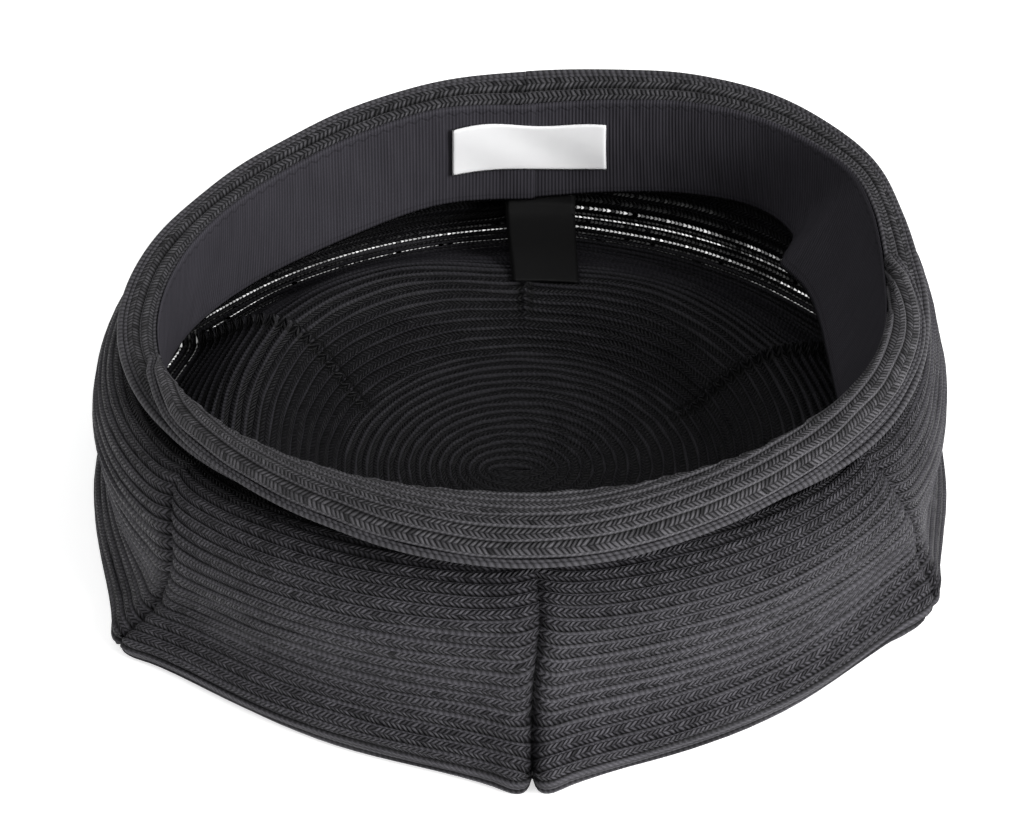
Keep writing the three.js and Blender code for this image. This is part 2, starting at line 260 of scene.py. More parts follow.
def spline(stops: np.ndarray, values: np.ndarray, places: np.ndarray) -> np.ndarray:
    """Reads a smooth curve through a table's values.

    Args:
        stops: Rising places of the values.
        values: One value for each stop.
        places: Where the curve is read. Past the ends it keeps the end values.

    Returns:
        The curve's values, in the shape of places.
    """
    last = len(stops) - 1
    i = np.clip(np.searchsorted(stops, places, side="right") - 1, 0, last - 1)
    t = np.clip((places - stops[i]) / (stops[i + 1] - stops[i]), 0, 1)
    p0, p1 = values[np.maximum(i - 1, 0)], values[i]
    p2, p3 = values[i + 1], values[np.minimum(i + 2, last)]
    bend = 2 * p0 - 5 * p1 + 4 * p2 - p3
    twist = 3 * p1 - p0 - 3 * p2 + p3
    return 0.5 * (2 * p1 + t * (p2 - p0 + t * (bend + t * twist)))


def around(table: Sequence, column: str, angles: np.ndarray, closed: bool = True) -> np.ndarray:
    """Reads a column of a table of directions on a smooth curve through its rows.

    Args:
        table: Rows with an angle and the column.
        column: Name of the column.
        angles: Directions to read it at.
        closed: Whether the table runs all the way round.

    Returns:
        The column's values, one for each direction.
    """
    rows = sorted(table, key=lambda row: row.angle)
    stops = np.array([row.angle for row in rows], float)
    values = np.array([getattr(row, column) for row in rows], float)
    if closed:
        stops = np.concatenate((stops[-2:] - 360, stops, stops[:2] + 360))
        values = np.concatenate((values[-2:], values, values[:2]))
        angles = (np.asarray(angles) - stops[2]) % 360 + stops[2]
    return spline(stops, values, np.asarray(angles, float))


def of_darts(column: str, nearest: np.ndarray) -> np.ndarray:
    """Reads a column of the darts' table for each place's nearest dart."""
    return np.array([getattr(dart, column) for dart in DARTS])[nearest]


def normals_of(line: np.ndarray) -> np.ndarray:
    """Gives unit normals to lines of points, to the right of the way that they run.

    Args:
        line: Points as (lines, points, 2).

    Returns:
        Normals in the same shape.
    """
    along = np.gradient(line, axis=1)
    along /= np.linalg.norm(along, axis=2, keepdims=True)
    return np.stack((along[..., 1], -along[..., 0]), axis=2)


def lengths_of(line: np.ndarray) -> np.ndarray:
    """Gives the length along each line up to each of its points, as (lines, points)."""
    steps = np.linalg.norm(np.diff(line, axis=1), axis=2)
    return np.pad(np.cumsum(steps, axis=1), ((0, 0), (1, 0)))


def read_lines(line: np.ndarray, lift: np.ndarray, places: np.ndarray) -> np.ndarray:
    """Reads points at given lengths along lines, pushed out along the lines' normals.

    Args:
        line: Points as (lines, points, 2).
        lift: How far out each read point is pushed, as (lines, places).
        places: Lengths along each line, as (lines, places).

    Returns:
        Points as (lines, places, 2).
    """
    normals = normals_of(line)
    lengths = lengths_of(line)
    read = np.empty(places.shape + (2,))
    for i, length in enumerate(lengths):
        for axis in range(2):
            base = np.interp(places[i], length, line[i, :, axis])
            read[i, :, axis] = base + lift[i] * np.interp(places[i], length, normals[i, :, axis])
    return read


@dataclass(frozen=True)
class Wobble:
    """The slight unevenness of hand-guided sewing, the same in every run.

    Attributes:
        amount: Its largest size.
        waves: How many waves it makes in one turn, slowest and fastest.
        seed: Start of its random numbers.
    """

    amount: float
    waves: tuple[float, float]
    seed: int

    def at(self, turns: np.ndarray) -> np.ndarray:
        """Gives the unevenness at places counted in turns along the braid.

        Args:
            turns: Places, counted in turns.

        Returns:
            Unevenness in the same shape.
        """
        source = np.random.default_rng(self.seed)
        total = np.zeros_like(turns)
        count = 6
        for _ in range(count):
            pace = source.uniform(*self.waves)
            total += np.sin(2 * math.pi * (pace * turns + source.uniform()))
        return total * self.amount / math.sqrt(count)


@dataclass(frozen=True)
class Patch:
    """A place round the cap where something changes smoothly: its middle, its spread and how much."""

    angle: float
    width: float
    amount: float

    def at(self, angles: np.ndarray) -> np.ndarray:
        """Gives how much it changes at directions."""
        return self.amount * bell(turn(self.angle, angles), self.width)


# Laying and joining meshes

class Ends(Enum):
    """How a swept surface ends round Z."""

    WHOLE_TURN = "whole turn"
    OPEN = "open"


def select_only(*objects: bpy.types.Object) -> None:
    """Selects these objects alone, and makes the first one active.

    Args:
        objects: The objects to select.
    """
    bpy.ops.object.select_all(action="DESELECT")
    for item in objects:
        item.select_set(True)
    bpy.context.view_layer.objects.active = objects[0]


@dataclass
class Surface:
    """A swept surface: a grid of places, laid from a flat grid of faces.

    Attributes:
        radius: Distance from the crown's axis, as (rows, columns).
        height: Height above the floor, as (rows, columns).
        angles: Direction of each column.
        across: Each row's place across the braid, counted in braid rows.
        along: Length along the braid for each row of faces, as (rows - 1, columns).
        shift: Sideways move of each point in x and y, as (rows, columns, 2), or None.
        marks: Values kept on the points for the finish, by name, each as (rows, columns).
    """

    radius: np.ndarray
    height: np.ndarray
    angles: np.ndarray
    across: np.ndarray
    along: np.ndarray
    shift: np.ndarray | None = None
    marks: dict[str, np.ndarray] = field(default_factory=dict)

    def places(self) -> np.ndarray:
        """Gives the grid's points in the frame, in metres, as (rows, columns, 3).

        Returns:
            Points in metres.
        """
        direction = np.radians(self.angles)
        x = self.radius * np.sin(direction) + CROWN_MIDDLE[0]
        y = -self.radius * np.cos(direction) + CROWN_MIDDLE[1]
        points = np.stack((x, y, self.height), axis=2)
        if self.shift is not None:
            points[..., :2] += self.shift
        return points * MM

    def lay(self, name: str) -> bpy.types.Object:
        """Makes the surface's mesh from a flat grid primitive, with its braid coordinates.

        Args:
            name: The new object's name.

        Returns:
            The new object, whose points are the grid's places.
        """
        rows, columns = self.radius.shape
        bpy.ops.object.select_all(action="DESELECT")
        bpy.ops.mesh.primitive_grid_add(x_subdivisions=columns - 1, y_subdivisions=rows - 1, size=1)
        piece = bpy.context.object
        piece.name = name
        mesh = piece.data
        flat = np.empty(len(mesh.vertices) * 3)
        mesh.vertices.foreach_get("co", flat)
        flat = flat.reshape(-1, 3) + 0.5
        column = np.rint(flat[:, 0] * (columns - 1)).astype(int)
        row = np.rint(flat[:, 1] * (rows - 1)).astype(int)
        mesh.vertices.foreach_set("co", self.places()[row, column].reshape(-1))
        corner = np.empty(len(mesh.loops), int)
        mesh.loops.foreach_get("vertex_index", corner)
        face_row = np.repeat(row[corner].reshape(-1, 4).min(axis=1), 4)
        braid = np.stack((self.along[face_row, column[corner]], self.across[row[corner]]), axis=1)
        mesh.uv_layers[0].name = "braid"
        mesh.uv_layers["braid"].data.foreach_set("uv", braid.reshape(-1))
        for mark, values in self.marks.items():
            layer = mesh.attributes.new(mark, "FLOAT", "POINT")
            layer.data.foreach_set("value", values[row, column])
        mesh.update()
        return piece


def weld(piece: bpy.types.Object) -> None:
    """Merges a piece's doubled points, closes what is left open and turns its faces outwards.

    Args:
        piece: The piece to close.
    """
    select_only(piece)
    bpy.ops.object.mode_set(mode="EDIT")
    bpy.ops.mesh.select_all(action="SELECT")
    bpy.ops.mesh.remove_doubles(threshold=WELD)
    bpy.ops.mesh.dissolve_degenerate(threshold=WELD / 4)
    bpy.ops.mesh.select_all(action="SELECT")
    bpy.ops.mesh.fill_holes(sides=0)
    bpy.ops.mesh.normals_make_consistent(inside=False)
    bpy.ops.object.mode_set(mode="OBJECT")
    bpy.ops.object.shade_smooth()


def joined(pieces: Sequence[bpy.types.Object], name: str) -> bpy.types.Object:
    """Joins pieces into the first of them.

    Args:
        pieces: The pieces, each with its own material.
        name: The joined piece's name.

    Returns:
        The joined piece.
    """
    select_only(*pieces)
    bpy.ops.object.join()
    piece = bpy.context.object
    piece.name = name
    piece.data.name = name
    return piece


def shell(name: str, outer: Surface, inner: Surface, ends: Ends) -> bpy.types.Object:
    """Makes a closed wall of two surfaces that meet at their edges.

    Args:
        name: The new object's name.
        outer: The wall's outer face.
        inner: The wall's inner face, with its rows in the opposite order.
        ends: Whether the wall also ends round Z.

    Returns:
        The closed wall.
    """
    for axis in ("radius", "height"):
        one, two = getattr(outer, axis), getattr(inner, axis)[::-1]
        for edge in (0, -1):
            one[edge] = two[edge] = (one[edge] + two[edge]) / 2
        if ends is Ends.OPEN:
            for edge in (0, -1):
                one[:, edge] = two[:, edge] = (one[:, edge] + two[:, edge]) / 2
    piece = joined([outer.lay(name), inner.lay(name + "_inner")], name)
    weld(piece)
    return piece


# Shader graphs

class Wire:
    """A value on its way through a shader, with the usual arithmetic."""

    def __init__(self, graph: Graph, socket: bpy.types.NodeSocket) -> None:
        """Wraps an output socket of a graph."""
        self.graph = graph
        self.socket = socket

    def maths(self, operation: str, *others: Wire | float) -> Wire:
        """Adds one Math node that starts from this value.

        Args:
            operation: The node's operation.
            others: Its second and third values.

        Returns:
            The node's result.
        """
        inputs = dict(enumerate((self, *others)))
        return self.graph.node("ShaderNodeMath", {"operation": operation}, inputs)

    def __add__(self, other: Wire | float) -> Wire:
        """Adds."""
        return self.maths("ADD", other)

    __radd__ = __add__

    def __sub__(self, other: Wire | float) -> Wire:
        """Subtracts."""
        return self.maths("SUBTRACT", other)

    def __rsub__(self, other: float) -> Wire:
        """Subtracts this from a number."""
        return self.graph.node("ShaderNodeMath", {"operation": "SUBTRACT"}, {0: other, 1: self})

    def __mul__(self, other: Wire | float) -> Wire:
        """Multiplies."""
        return self.maths("MULTIPLY", other)

    __rmul__ = __mul__

    def __truediv__(self, other: Wire | float) -> Wire:
        """Divides."""
        return self.maths("DIVIDE", other)

    def __pow__(self, other: Wire | float) -> Wire:
        """Raises to a power."""
        return self.maths("POWER", other)

    def fraction(self) -> Wire:
        """Keeps the part behind the point."""
        return self.maths("FRACT")

    def floor(self) -> Wire:
        """Rounds down."""
        return self.maths("FLOOR")

    def size(self) -> Wire:
        """Drops the sign."""
        return self.maths("ABSOLUTE")

    def sine(self) -> Wire:
        """Gives the sine."""
        return self.maths("SINE")

    def rise(self, start: float, end: float) -> Wire:
        """Rises smoothly from 0 at start to 1 at end, or falls where end is lower.

        Args:
            start: Value at which it is 0.
            end: Value at which it is 1.

        Returns:
            The risen value.
        """
        low, high = sorted((start, end))
        outputs = {3: 0.0, 4: 1.0} if start < end else {3: 1.0, 4: 0.0}
        inputs = {0: self, 1: low, 2: high, **outputs}
        return self.graph.node("ShaderNodeMapRange", {"interpolation_type": "SMOOTHSTEP"}, inputs)


class Graph:
    """A new material's nodes round one Principled shader."""

    def __init__(self, name: str) -> None:
        """Makes the material.

        Args:
            name: The material's name.
        """
        self.material = bpy.data.materials.new(name)
        self.material.use_nodes = True
        self.tree = self.material.node_tree
        self.shader = self.tree.nodes["Principled BSDF"]

    def node(
        self, kind: str, settings: dict | None = None, inputs: dict | None = None, output: int | str = 0
    ) -> Wire:
        """Adds a node.

        Args:
            kind: The node's type.
            settings: Its own settings, set before its sockets.
            inputs: Values or wires for its sockets, by index or name.
            output: Which result is wanted.

        Returns:
            A wire from that result.
        """
        made = self.tree.nodes.new(kind)
        for key, value in (settings or {}).items():
            setattr(made, key, value)
        for key, value in (inputs or {}).items():
            self.feed(made.inputs[key], value)
        return Wire(self, made.outputs[output])

    def feed(self, socket: bpy.types.NodeSocket, value: Wire | float | tuple) -> None:
        """Links a wire to a socket, or sets the socket's own value.

        Args:
            socket: The socket to fill.
            value: A wire, a number, a vector or a colour.
        """
        if isinstance(value, Wire):
            self.tree.links.new(value.socket, socket)
        elif isinstance(value, tuple) and len(value) == 3 and socket.type == "RGBA":
            socket.default_value = (*value, 1.0)
        else:
            socket.default_value = value

    def shade(self, **values: Wire | float | tuple) -> None:
        """Feeds the shader's sockets, named with underscores for spaces."""
        for name, value in values.items():
            self.feed(self.shader.inputs[name.replace("_", " ")], value)

    def braid(self) -> tuple[Wire, Wire]:
        """Gives the length along the braid in millimetres and the place across it in rows.

        Returns:
            The length and the place.
        """
        uv = self.node("ShaderNodeUVMap", {"uv_map": "braid"})
        split = self.node("ShaderNodeSeparateXYZ", inputs={0: uv})
        return split, Wire(self, split.socket.node.outputs[1])

    def noise(self, scale: float, detail: float = 2.0, vector: Wire | None = None) -> Wire:
        """Adds a noise between 0 and 1, on Object coordinates if no vector is given.

        Args:
            scale: The noise's scale.
            detail: Its number of finer layers.
            vector: Where it is read, or None.

        Returns:
            The noise.
        """
        place = vector or self.node("ShaderNodeTexCoord", output="Object")
        inputs = {"Vector": place, "Scale": scale, "Detail": detail}
        return self.node("ShaderNodeTexNoise", inputs=inputs)

    def vector(self, x: Wire | float, y: Wire | float, z: Wire | float = 0.0) -> Wire:
        """Joins three values into a vector."""
        return self.node("ShaderNodeCombineXYZ", inputs={0: x, 1: y, 2: z})

    def blend(self, share: Wire | float, low: Wire | Colour, high: Wire | Colour) -> Wire:
        """Mixes two colours."""
        inputs = {"Factor": share, 6: low, 7: high}
        return self.node("ShaderNodeMix", {"data_type": "RGBA"}, inputs, output=2)

    def scaled(self, colour: Wire, amount: Wire) -> Wire:
        """Multiplies a colour by a value."""
        return self.node("ShaderNodeVectorMath", {"operation": "SCALE"}, {0: colour, "Scale": amount})

    def bump(self, height: Wire) -> Wire:
        """Turns a height in millimetres into a normal."""
        return self.node("ShaderNodeBump", inputs={"Strength": 1.0, "Distance": MM, "Height": height})


class Finish:
    """A surface finish that can dress pieces."""

    def material(self) -> bpy.types.Material:
        """Builds the finish's material."""
        raise NotImplementedError

    def dress(self, *pieces: bpy.types.Object) -> None:
        """Gives the finish to pieces, as their only material.

        Args:
            pieces: The pieces to dress.
        """
        made = self.material()
        for piece in pieces:
            piece.data.materials.clear()
            piece.data.materials.append(made)


@dataclass(frozen=True)
class BraidFinish(Finish):
    """Sewn paper straw braid: slanting strands in chevrons, and a smooth edge on each row.

    Attributes:
        name: The material's name.
        pitch: Length of one chevron along the row.
        slant: How far a chevron's arms run back at the row's edges.
        middle: Place of the chevrons' points across the row.
        edge: Place across the row where the smooth edge begins.
        relief: Height of the strands.
        strand: Colour of the strands.
        gap: Colour between the strands, painted shade in the gaps.
        edge_highlight: How much lighter the smooth edge is, a painted highlight on each row's rounded edge.
        hem: Middle of the two rows that are smooth all across.
        roughness: Roughness between the strands.
        daylight: Whether the stitch holes get painted light, glowing points where light shows through.
    """

    name: str
    pitch: float = 1.3
    slant: float = 1.3
    middle: float = 0.44
    edge: float = 0.87
    relief: float = 0.55
    strand: Colour = (0.078, 0.075, 0.085)
    # Near black between the strands: painted shade in the gaps.
    gap: Colour = (0.0015, 0.0015, 0.002)
    # Painted highlight on each row's smooth proud edge.
    edge_highlight: float = 0.4
    hem: float = -9
    roughness: float = 0.64
    daylight: bool = False

    def material(self) -> bpy.types.Material:
        """Builds the braid's material. Each row's number shifts its noises, so no two rows look alike.

        Returns:
            The material.
        """
        graph = Graph(self.name)
        along, across = graph.braid()
        row = across.floor()
        share = across.fraction()
        plain = (row - self.hem).size().rise(1.1, 0.9)
        inside = share.rise(self.edge, self.edge - 0.06) * (1.0 - plain)
        smooth = 1.0 - inside
        uneven = graph.noise(0.35, 1.0, graph.vector(along, row * 7.3)) - 0.5
        arm = (share - self.middle).size() * (self.slant / self.middle)
        phase = (along - arm + uneven * 1.1) / self.pitch + row * 0.37
        wave = phase.fraction() * 2.0 - 1.0
        strand = (1.0 - wave * wave) ** 1.2
        ridge = (share - self.middle).size().rise(0.0, 0.09) * 0.45 + 0.55
        twist = ((along * 0.9 + share * 4.0) / self.pitch * 2 * math.pi).sine() * 0.5 + 0.5
        fibres = graph.noise(1.0, 2.0, graph.vector(phase * 7.0, share * 2.4 + row * 5.0))
        height = strand * ridge * inside * self.relief + twist * smooth * 0.14 + fibres * 0.1
        side = share.rise(self.middle - 0.01, self.middle + 0.01)
        pick = graph.noise(1.0, 0.0, graph.vector(phase.floor() * 2.63, row * 3.7, side * 5.0))
        # Painted shade: the gap colour shows between the strands and along the chevrons' middles.
        bright = strand * ridge * (pick * 1.9 - 0.15) * inside + (0.42 + twist * 0.35) * smooth
        worn = graph.noise(0.12, 3.0, graph.vector(along, row * 3.1))
        # The smooth edge is made lighter by edge_highlight, a painted highlight; shade_of paints the shade.
        tone = self.shade_of(graph, share, plain) * (1.0 + smooth * self.edge_highlight)
        graph.shade(
            Base_Color=graph.scaled(graph.blend(bright, self.gap, self.strand),
                                    tone * (0.6 + worn * 0.5) * (0.5 + fibres)),
            Roughness=self.roughness - strand * 0.14,
            Normal=graph.bump(height),
            Specular_IOR_Level=0.16,
        )
        if self.daylight:
            self.add_daylight(graph, phase, share, row)
        return graph.material

    @staticmethod
    def shade_of(graph: Graph, share: Wire, plain: Wire) -> Wire:
        """Paints shade into the braid's colour where a row tucks under the next, on the step down to it,
        across the hem's round cords and in creases.

        Args:
            graph: The material's nodes.
            share: Place across the row.
            plain: Whether the row is smooth all across.

        Returns:
            What the colour is multiplied by.
        """
        cord = (share * 2.0).fraction() * 2.0 - 1.0
        # Painted shade where a row tucks under the next one.
        tucked = share.rise(-0.03, 0.28) * 0.95 + 0.05
        # Painted shade on the step face down to the next row.
        step = share.rise(1.0, 0.93) * 0.6 + 0.4
        crease = graph.node("ShaderNodeAttribute", {"attribute_name": "crease"}, output="Fac")
        # Painted shade across the hem's round cords and in the marked creases and neck dip.
        return (1.0 - cord * cord * plain * 0.85) * tucked * step * (1.0 - crease * 0.85)

    def add_daylight(self, graph: Graph, phase: Wire, share: Wire, row: Wire) -> None:
        """Paints light into the stitch holes, as small glowing points where the wall is marked.

        Args:
            graph: The material's nodes.
            phase: Place along the row, counted in chevrons.
            share: Place across the row.
            row: Number of the row.
        """
        mark = graph.node("ShaderNodeAttribute", {"attribute_name": "daylight"}, output="Fac")
        x = (phase.fraction() - 0.5) * self.pitch
        y = (share - 0.45) * BRAID_PITCH
        dot = (x * x + y * y).rise(0.34, 0.06)
        pick = graph.noise(1.0, 0.0, graph.vector(phase.floor() * 0.83, row * 5.7))
        stretch = graph.noise(0.06, 1.0, graph.vector(phase, row * 9.1))
        other = ((row * 0.5).fraction() - 0.25).rise(-0.1, 0.1) * 0.96 + 0.04
        lit = (pick * 2.4 - 0.6) * stretch.rise(0.25, 0.5) * mark * other
        glow = graph.blend(dot, (0.0, 0.0, 0.0), (1.0, 1.0, 1.0))
        # The stitch holes glow by themselves: painted light, not a lamp.
        graph.shade(Emission_Color=graph.scaled(glow, lit), Emission_Strength=1.2)


@dataclass(frozen=True)
class CordFinish(Finish):
    """A smooth twisted straw cord along an edge.

    Attributes:
        name: The material's name.
        colour: Colour of its strands.
        gap: Colour between them.
        lay: Length of one turn of its twist.
    """

    name: str
    colour: Colour = (0.062, 0.06, 0.067)
    gap: Colour = (0.012, 0.0115, 0.013)
    lay: float = 1.7

    def material(self) -> bpy.types.Material:
        """Builds the cord's material.

        Returns:
            The material.
        """
        graph = Graph(self.name)
        along, across = graph.braid()
        twist = ((along / self.lay + across) * 2 * math.pi).sine() * 0.5 + 0.5
        worn = graph.noise(0.2, 3.0, graph.vector(along, across))
        fibres = graph.noise(6.0, 2.0, graph.vector(along, across * 6.0))
        colour = graph.blend(twist ** 0.6, self.gap, self.colour)
        graph.shade(
            Base_Color=graph.scaled(colour, 0.65 + worn * 0.7),
            Roughness=0.6,
            Normal=graph.bump(twist * 0.14 + fibres * 0.12),
            Specular_IOR_Level=0.2,
        )
        return graph.material


@dataclass(frozen=True)
class RibbonFinish(Finish):
    """Grosgrain ribbon with fine upright ribs, a stitched top and a woven lower edge.

    Attributes:
        name: The material's name.
        colour: Colour of the ribs. Between them it is half as light.
        rib: Distance from rib to rib.
        stitch: Length of one zigzag of the stitches along the top.
        hem: Place of the woven edge's line, as a share of the width.
    """

    name: str
    colour: Colour = (0.045, 0.0425, 0.0515)
    rib: float = 0.95
    stitch: float = 3.8
    hem: float = 0.93

    def material(self) -> bpy.types.Material:
        """Builds the ribbon's material.

        Returns:
            The material.
        """
        graph = Graph(self.name)
        along, across = graph.braid()
        rib = (along * (2 * math.pi / self.rib)).sine() * 0.5 + 0.5
        weft = graph.noise(1.0, 2.0, graph.vector(along * 0.6, across * 60.0))
        cloudy = graph.noise(30.0, 3.0)
        thread = graph.noise(1.0, 1.0, graph.vector(along * 2.2, across * 2.0))
        pucker = graph.noise(1.0, 1.0, graph.vector(along * 0.13, across * 1.3))
        between = tuple(c * 0.5 for c in self.colour)
        colour = graph.blend(rib * 0.75 + weft * 0.25, between, self.colour)
        scallop = ((along / self.stitch).fraction() - 0.5).size() * 0.07 + 0.055
        stitched = (across - scallop).size().rise(0.016, 0.004)
        hem = (across - self.hem).size().rise(0.014, 0.003)
        worn = (0.56 + cloudy * 0.5 + thread * 0.5) * (1.0 - stitched * 0.22) * (1.0 - hem * 0.2)
        height = rib * 0.16 + weft * 0.05 + thread * 0.05 + pucker * 1.6 - stitched * 0.08
        graph.shade(
            Base_Color=graph.scaled(colour, worn),
            Roughness=0.85 - rib * 0.1,
            Normal=graph.bump(height),
            Specular_IOR_Level=0.16,
        )
        return graph.material


@dataclass(frozen=True)
class WovenFinish(Finish):
    """Fine woven tape, such as a label.

    Attributes:
        name: The material's name.
        colour: Colour of its threads.
        shadow: Colour between them.
        roughness: Roughness between the threads.
        thread: Distance from thread to thread.
    """

    name: str
    colour: Colour
    shadow: Colour
    roughness: float
    thread: float = 0.32

    def material(self) -> bpy.types.Material:
        """Builds the tape's material.

        Returns:
            The material.
        """
        graph = Graph(self.name)
        along, across = graph.braid()
        warp = (along * (2 * math.pi / self.thread)).sine() * 0.5 + 0.5
        weft = (across * (2 * math.pi / self.thread)).sine() * 0.5 + 0.5
        weave = (warp - weft).size()
        soft = graph.noise(160.0, 2.0)
        graph.shade(
            Base_Color=graph.blend(weave * 0.7 + soft * 0.3, self.shadow, self.colour),
            Roughness=self.roughness + weave * 0.08,
            Normal=graph.bump(weave * 0.04 + soft * 0.1),
            Specular_IOR_Level=0.2,
        )
        return graph.material


@dataclass(frozen=True)
class FloorFinish(Finish):
    """A plain pale floor.

    Attributes:
        colour: Its colour where it is darkest.
        glow: How strongly it shines white by itself.
    """

    colour: Colour = (0.93, 0.93, 0.93)
    glow: float = 0.58

    def material(self) -> bpy.types.Material:
        """Builds the floor's material.

        Returns:
            The material.
        """
        graph = Graph("pale_floor")
        grain = graph.noise(14.0)
        graph.shade(
            Base_Color=graph.blend(grain, self.colour, tuple(min(1.0, c * 1.02) for c in self.colour)),
            Roughness=0.7,
            Emission_Color=(1.0, 1.0, 1.0),
            Emission_Strength=self.glow,
        )
        return graph.material


# The braid

# Width of one row, from one proud edge to the next.
BRAID_PITCH = 3.2


@dataclass(frozen=True)
class RowProfile:
    """The cross-section of one row of braid, from where it is tucked under to its proud edge.

    Attributes:
        places: Places across the row, from 0 up to but without 1.
        lifts: Heights there, 0 at the proud edge and less where the row is tucked under.
    """

    places: tuple[float, ...]
    lifts: tuple[float, ...]

    def stations(self, rows: int) -> tuple[np.ndarray, np.ndarray]:
        """Repeats the profile.

        Args:
            rows: How many rows there are.

        Returns:
            The place of each station, counted in rows, and its lift.
        """
        places = (np.arange(rows)[:, None] + np.array(self.places)).reshape(-1)
        lifts = np.tile(self.lifts, rows)
        return np.append(places, rows), np.append(lifts, self.lifts[0])


# A row of the crown's outer face and of the peak, and a plainer one for the crown's inner face.
FINE_ROW = RowProfile((0.0, 0.25, 0.62, 0.92), (-0.76, -0.32, -0.02, 0.0))
PLAIN_ROW = RowProfile((0.0, 0.5, 0.9), (-0.72, -0.16, 0.0))


@dataclass
class FacePlaces:
    """Where the points of one face of the crown lie, as (directions, stations) unless said otherwise.

    Attributes:
        angles: The columns' directions, as (directions).
        line: The crown's outer face at each direction, as (directions, points, 2).
        row: Place counted in rows from the middle of the tip.
        length: Length along the line.
        on_wall: Share of the way up the wall, 0 on the tip.
        distance: Distance from the nearest dart.
        depth: Depth of that dart's groove, as (directions, 1).
        cut: How much of the groove there is, from 0 to 1.
        begun: How far that dart has begun on the tip, from 0 to 1.
    """

    angles: np.ndarray
    line: np.ndarray
    row: np.ndarray
    length: np.ndarray
    on_wall: np.ndarray
    distance: np.ndarray
    depth: np.ndarray
    cut: np.ndarray
    begun: np.ndarray

    @property
    def on_tip(self) -> np.ndarray:
        """Tells which points lie on the tip."""
        return self.on_wall <= 0


